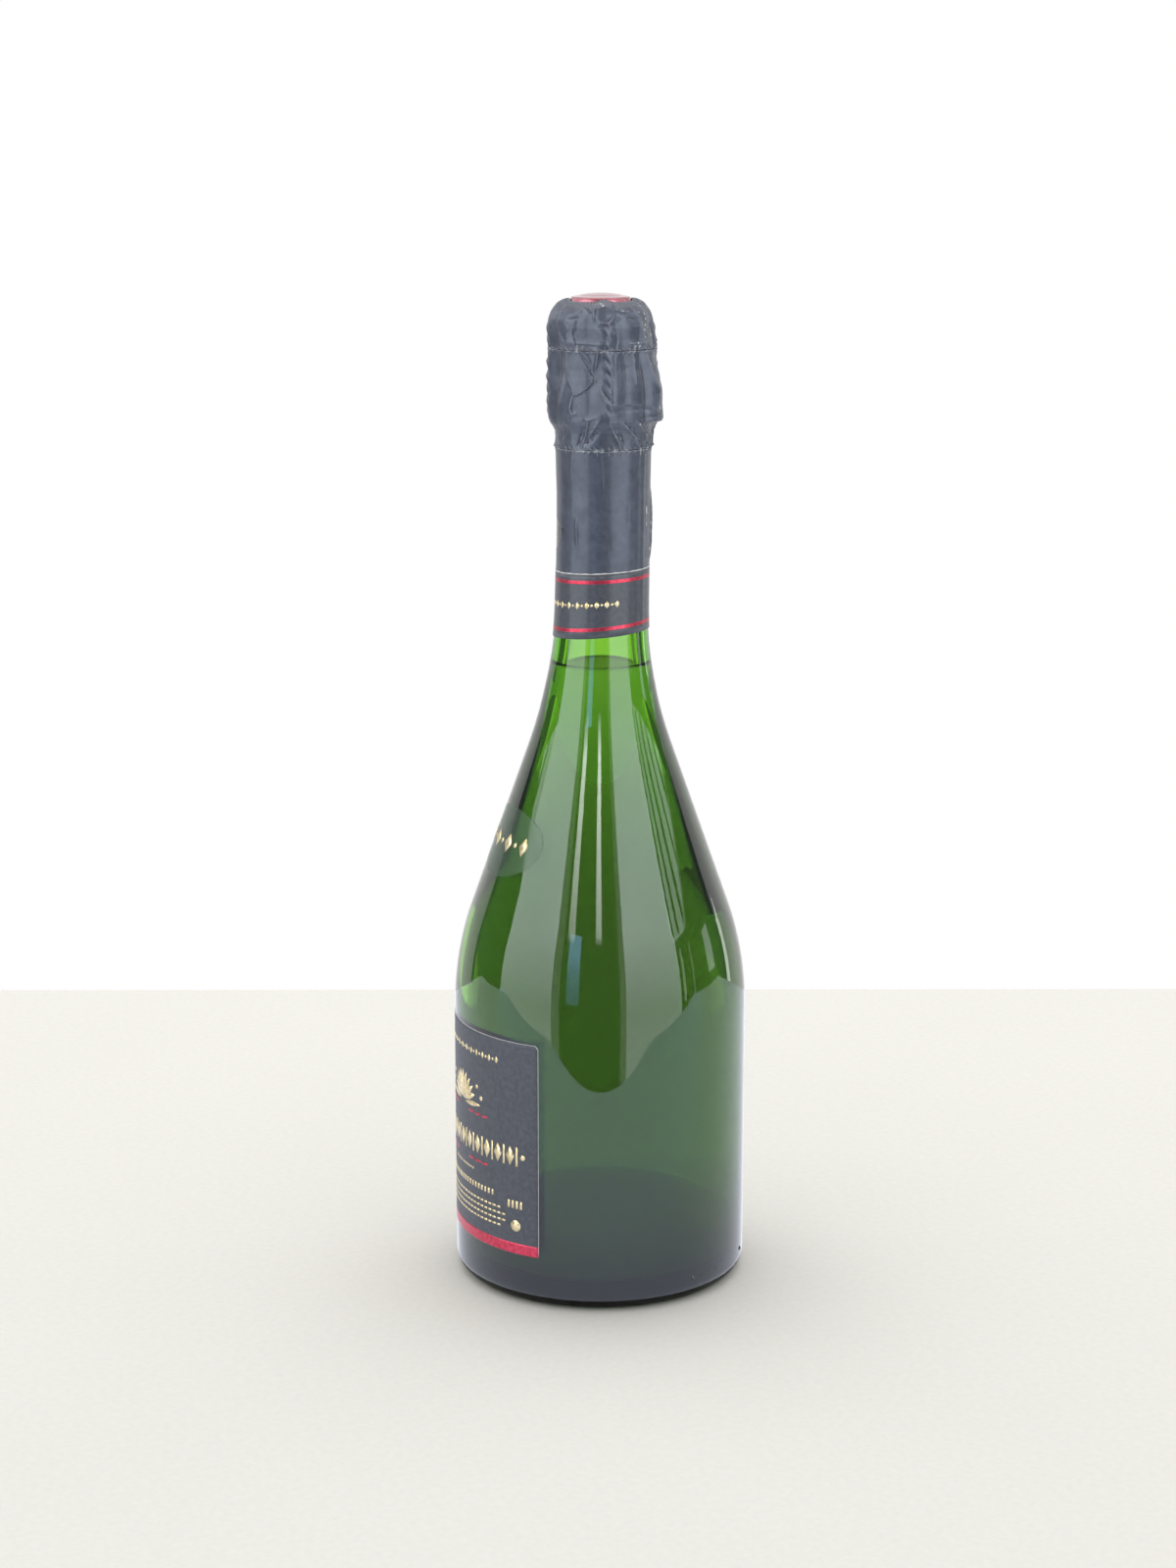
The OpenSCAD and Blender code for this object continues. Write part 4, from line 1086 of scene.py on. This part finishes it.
def labelHalfWidth(z):
    # half the label's width at a height: a rounded rectangle
    c, half = label["corner"], label["width"] / 2
    d = np.clip(c - np.minimum(z - label["low"], label["low"] + label["height"] - z), 0, c)
    return half - c + np.sqrt(np.clip(c * c - d * d, 0, None))


labelTop = label["low"] + label["height"]
frontLabel = sheetPatch("frontLabel", labelHalfWidth, label["low"], labelTop, onGlass, 0.01, paper["sheet"])
place(frontLabel, "bottle", "label_paper", darkPaper, "front_label")
redBand = sheetPatch("labelRedBand", labelHalfWidth, label["low"] + 0.02, label["low"] + label["band"],
                     onGlass, paper["sheet"] - 0.02, paper["sheet"] + 0.02, 72, 10)
place(redBand, "bottle", "label_paper", redFilm)
labelCutEdge = sheetPatch("labelCutEdge", lambda z: labelHalfWidth(z) + 0.13, label["low"] + 0.3,
                          labelTop + 0.13, onGlass, 0.015, paper["sheet"] - 0.02)
place(labelCutEdge, "bottle", "label_paper", whitePaper)


# Stamped ornament: rows of plain shapes, a fan of leaves and short dashes
# A shape is a ring of (x across, z height) points, anticlockwise, in mm
def lozenge(x, z, width, height):
    return np.array([[x + width / 2, z], [x, z + height / 2], [x - width / 2, z], [x, z - height / 2]])


def tile(x, z, width, height):
    return np.array([[x - width / 2, z - height / 2], [x + width / 2, z - height / 2],
                     [x + width / 2, z + height / 2], [x - width / 2, z + height / 2]])


def dot(x, z, radius):
    a = np.radians(np.arange(14) * 360 / 14)
    return np.stack([x + radius * np.cos(a), z + radius * np.sin(a)], -1)


def blade(x, z, length, width, tilt):
    # a pointed leaf from its foot at (x, z), tilt in degrees from level: half width sin(180 t)
    t = np.linspace(0, 1, 9)
    edge = np.stack([length * t, -width / 2 * np.sin(np.pi * t)], -1)
    ring = np.vstack([edge, (edge * [1, -1])[-2:0:-1]])
    c, d = math.cos(math.radians(tilt)), math.sin(math.radians(tilt))
    return ring @ np.array([[c, d], [-d, c]]) + [x, z]


def stamped(name, shapes, wrap, low, high, slot, finish):
    # each shape raised from low to high over the glass, closed by fans from its middle
    points, faces = [], [[], []]
    for ring in shapes:
        n, start = len(ring), sum(len(p) for p in points)
        flat = np.vstack([ring, ring.mean(0)])
        points += [wrap(flat[:, 0], flat[:, 1], high), wrap(flat[:, 0], flat[:, 1], low)]
        i = np.arange(n) + start
        j = (np.arange(n) + 1) % n + start
        faces[0] += [np.stack([i, j, np.full(n, start + n)], -1),
                     np.stack([j + n + 1, i + n + 1, np.full(n, start + 2 * n + 1)], -1)]
        faces[1].append(np.stack([j, i, i + n + 1, j + n + 1], -1))
    points = np.vstack(points)
    faces = outward(points, [np.vstack(faces[0]), np.vstack(faces[1])])
    return place(meshFrom(name, points, faces), "bottle", slot, finish)


def mirrored(shapes):
    # the shapes and their mirror images
    return shapes + [(ring * [-1, 1])[::-1] for ring in shapes]


def repeated(shape, span, step, *sizes):
    # the same shape in a row, from -span to span
    return [shape(x, *sizes) for x in np.arange(-span, span + 0.01, step)]


rows = (repeated(lozenge, 20.4, 3.4, 80, 1.6, 2.4) + repeated(dot, 18.7, 3.4, 80, 0.45)
        + repeated(lozenge, 26, 5.2, 49.5, 3.3, 6.4) + repeated(tile, 28.6, 5.2, 49.5, 0.8, 6.4)
        + repeated(dot, 30.9, 61.8, 49.5, 0.9) + repeated(dot, 7.5, 1.5, 40.5, 0.42)
        + repeated(tile, 18.2, 1.82, 35.4, 0.9, 1.8) + mirrored([dot(28.1, 26.3, 1.9)])
        + mirrored([tile(x, 33.4, 0.9, 2.6) for x in (25.4, 27, 28.6, 30.2)]))
for z, span in ((31.2, 21), (29.2, 23.1), (27.2, 23.1), (25.2, 21)):
    rows += repeated(tile, span, 2.1, z, 1.6, 0.6)
palmette = [blade(0, 62.5, 9.5, 2.4, tilt) for tilt in range(18, 180, 18)]
palmette += mirrored([blade(2, 61.6, 10.5, 1.6, 6), dot(12.6, 65.2, 0.8), dot(10.2, 68.6, 0.7)])
stampLow, stampHigh = paper["sheet"] - 0.03, paper["sheet"] + 0.06
stamped("labelGold", rows + palmette, onGlass, stampLow, stampHigh, "label_paper", goldFilm)
dashes = [blade(x, z, length, 0.9, tilt) for z, tilt in ((59.4, 3), (43.6, 4))
          for x, length in ((4, 4.4), (8.2, 4.4), (12.4, 3.9))]
stamped("labelRed", mirrored(dashes), onGlass, stampLow, stampHigh, "label_paper", redFilm)
band = (repeated(lozenge, 23.1, 3.3, collar["ornament"], 1.9, 2.4)
        + repeated(dot, 21.45, 3.3, collar["ornament"], 0.4))
stamped("collarGold", band, onCollar, collar["proud"] - 0.03, collar["proud"] + 0.05, "collar_paper",
        goldFilm)

oval = {"width": 41.0, "height": 21.7, "middle": 146.3}


def ovalHalfWidth(z):
    # half the oval's width at a height: an ellipse
    across = 1 - ((z - oval["middle"]) / (oval["height"] / 2)) ** 2
    return oval["width"] / 2 * np.sqrt(np.clip(across, 0.0004, 1))


clearFilm, tree, sockets = newFinish("clearPrintedFilm", {
    "Base Color": toLinear("#6B8570"), "Roughness": 0.2, "Alpha": 0.2})
ovalPatch = sheetPatch("ovalFilm", ovalHalfWidth, oval["middle"] - oval["height"] / 2 + 0.02,
                       oval["middle"] + oval["height"] / 2 - 0.02, onGlass, 0.02, 0.1)
place(ovalPatch, "bottle", "clear_film", clearFilm, "oval_label")
middle = oval["middle"]
motif = mirrored([lozenge(4.4, middle, 4.4, 5.8), lozenge(12.8, middle, 4.0, 5.8), dot(8.6, middle, 0.8)])
stamped("ovalGold", motif + [dot(0, middle, 0.8)], onGlass, 0.08, 0.14, "clear_film", goldFilm)
print("labels")
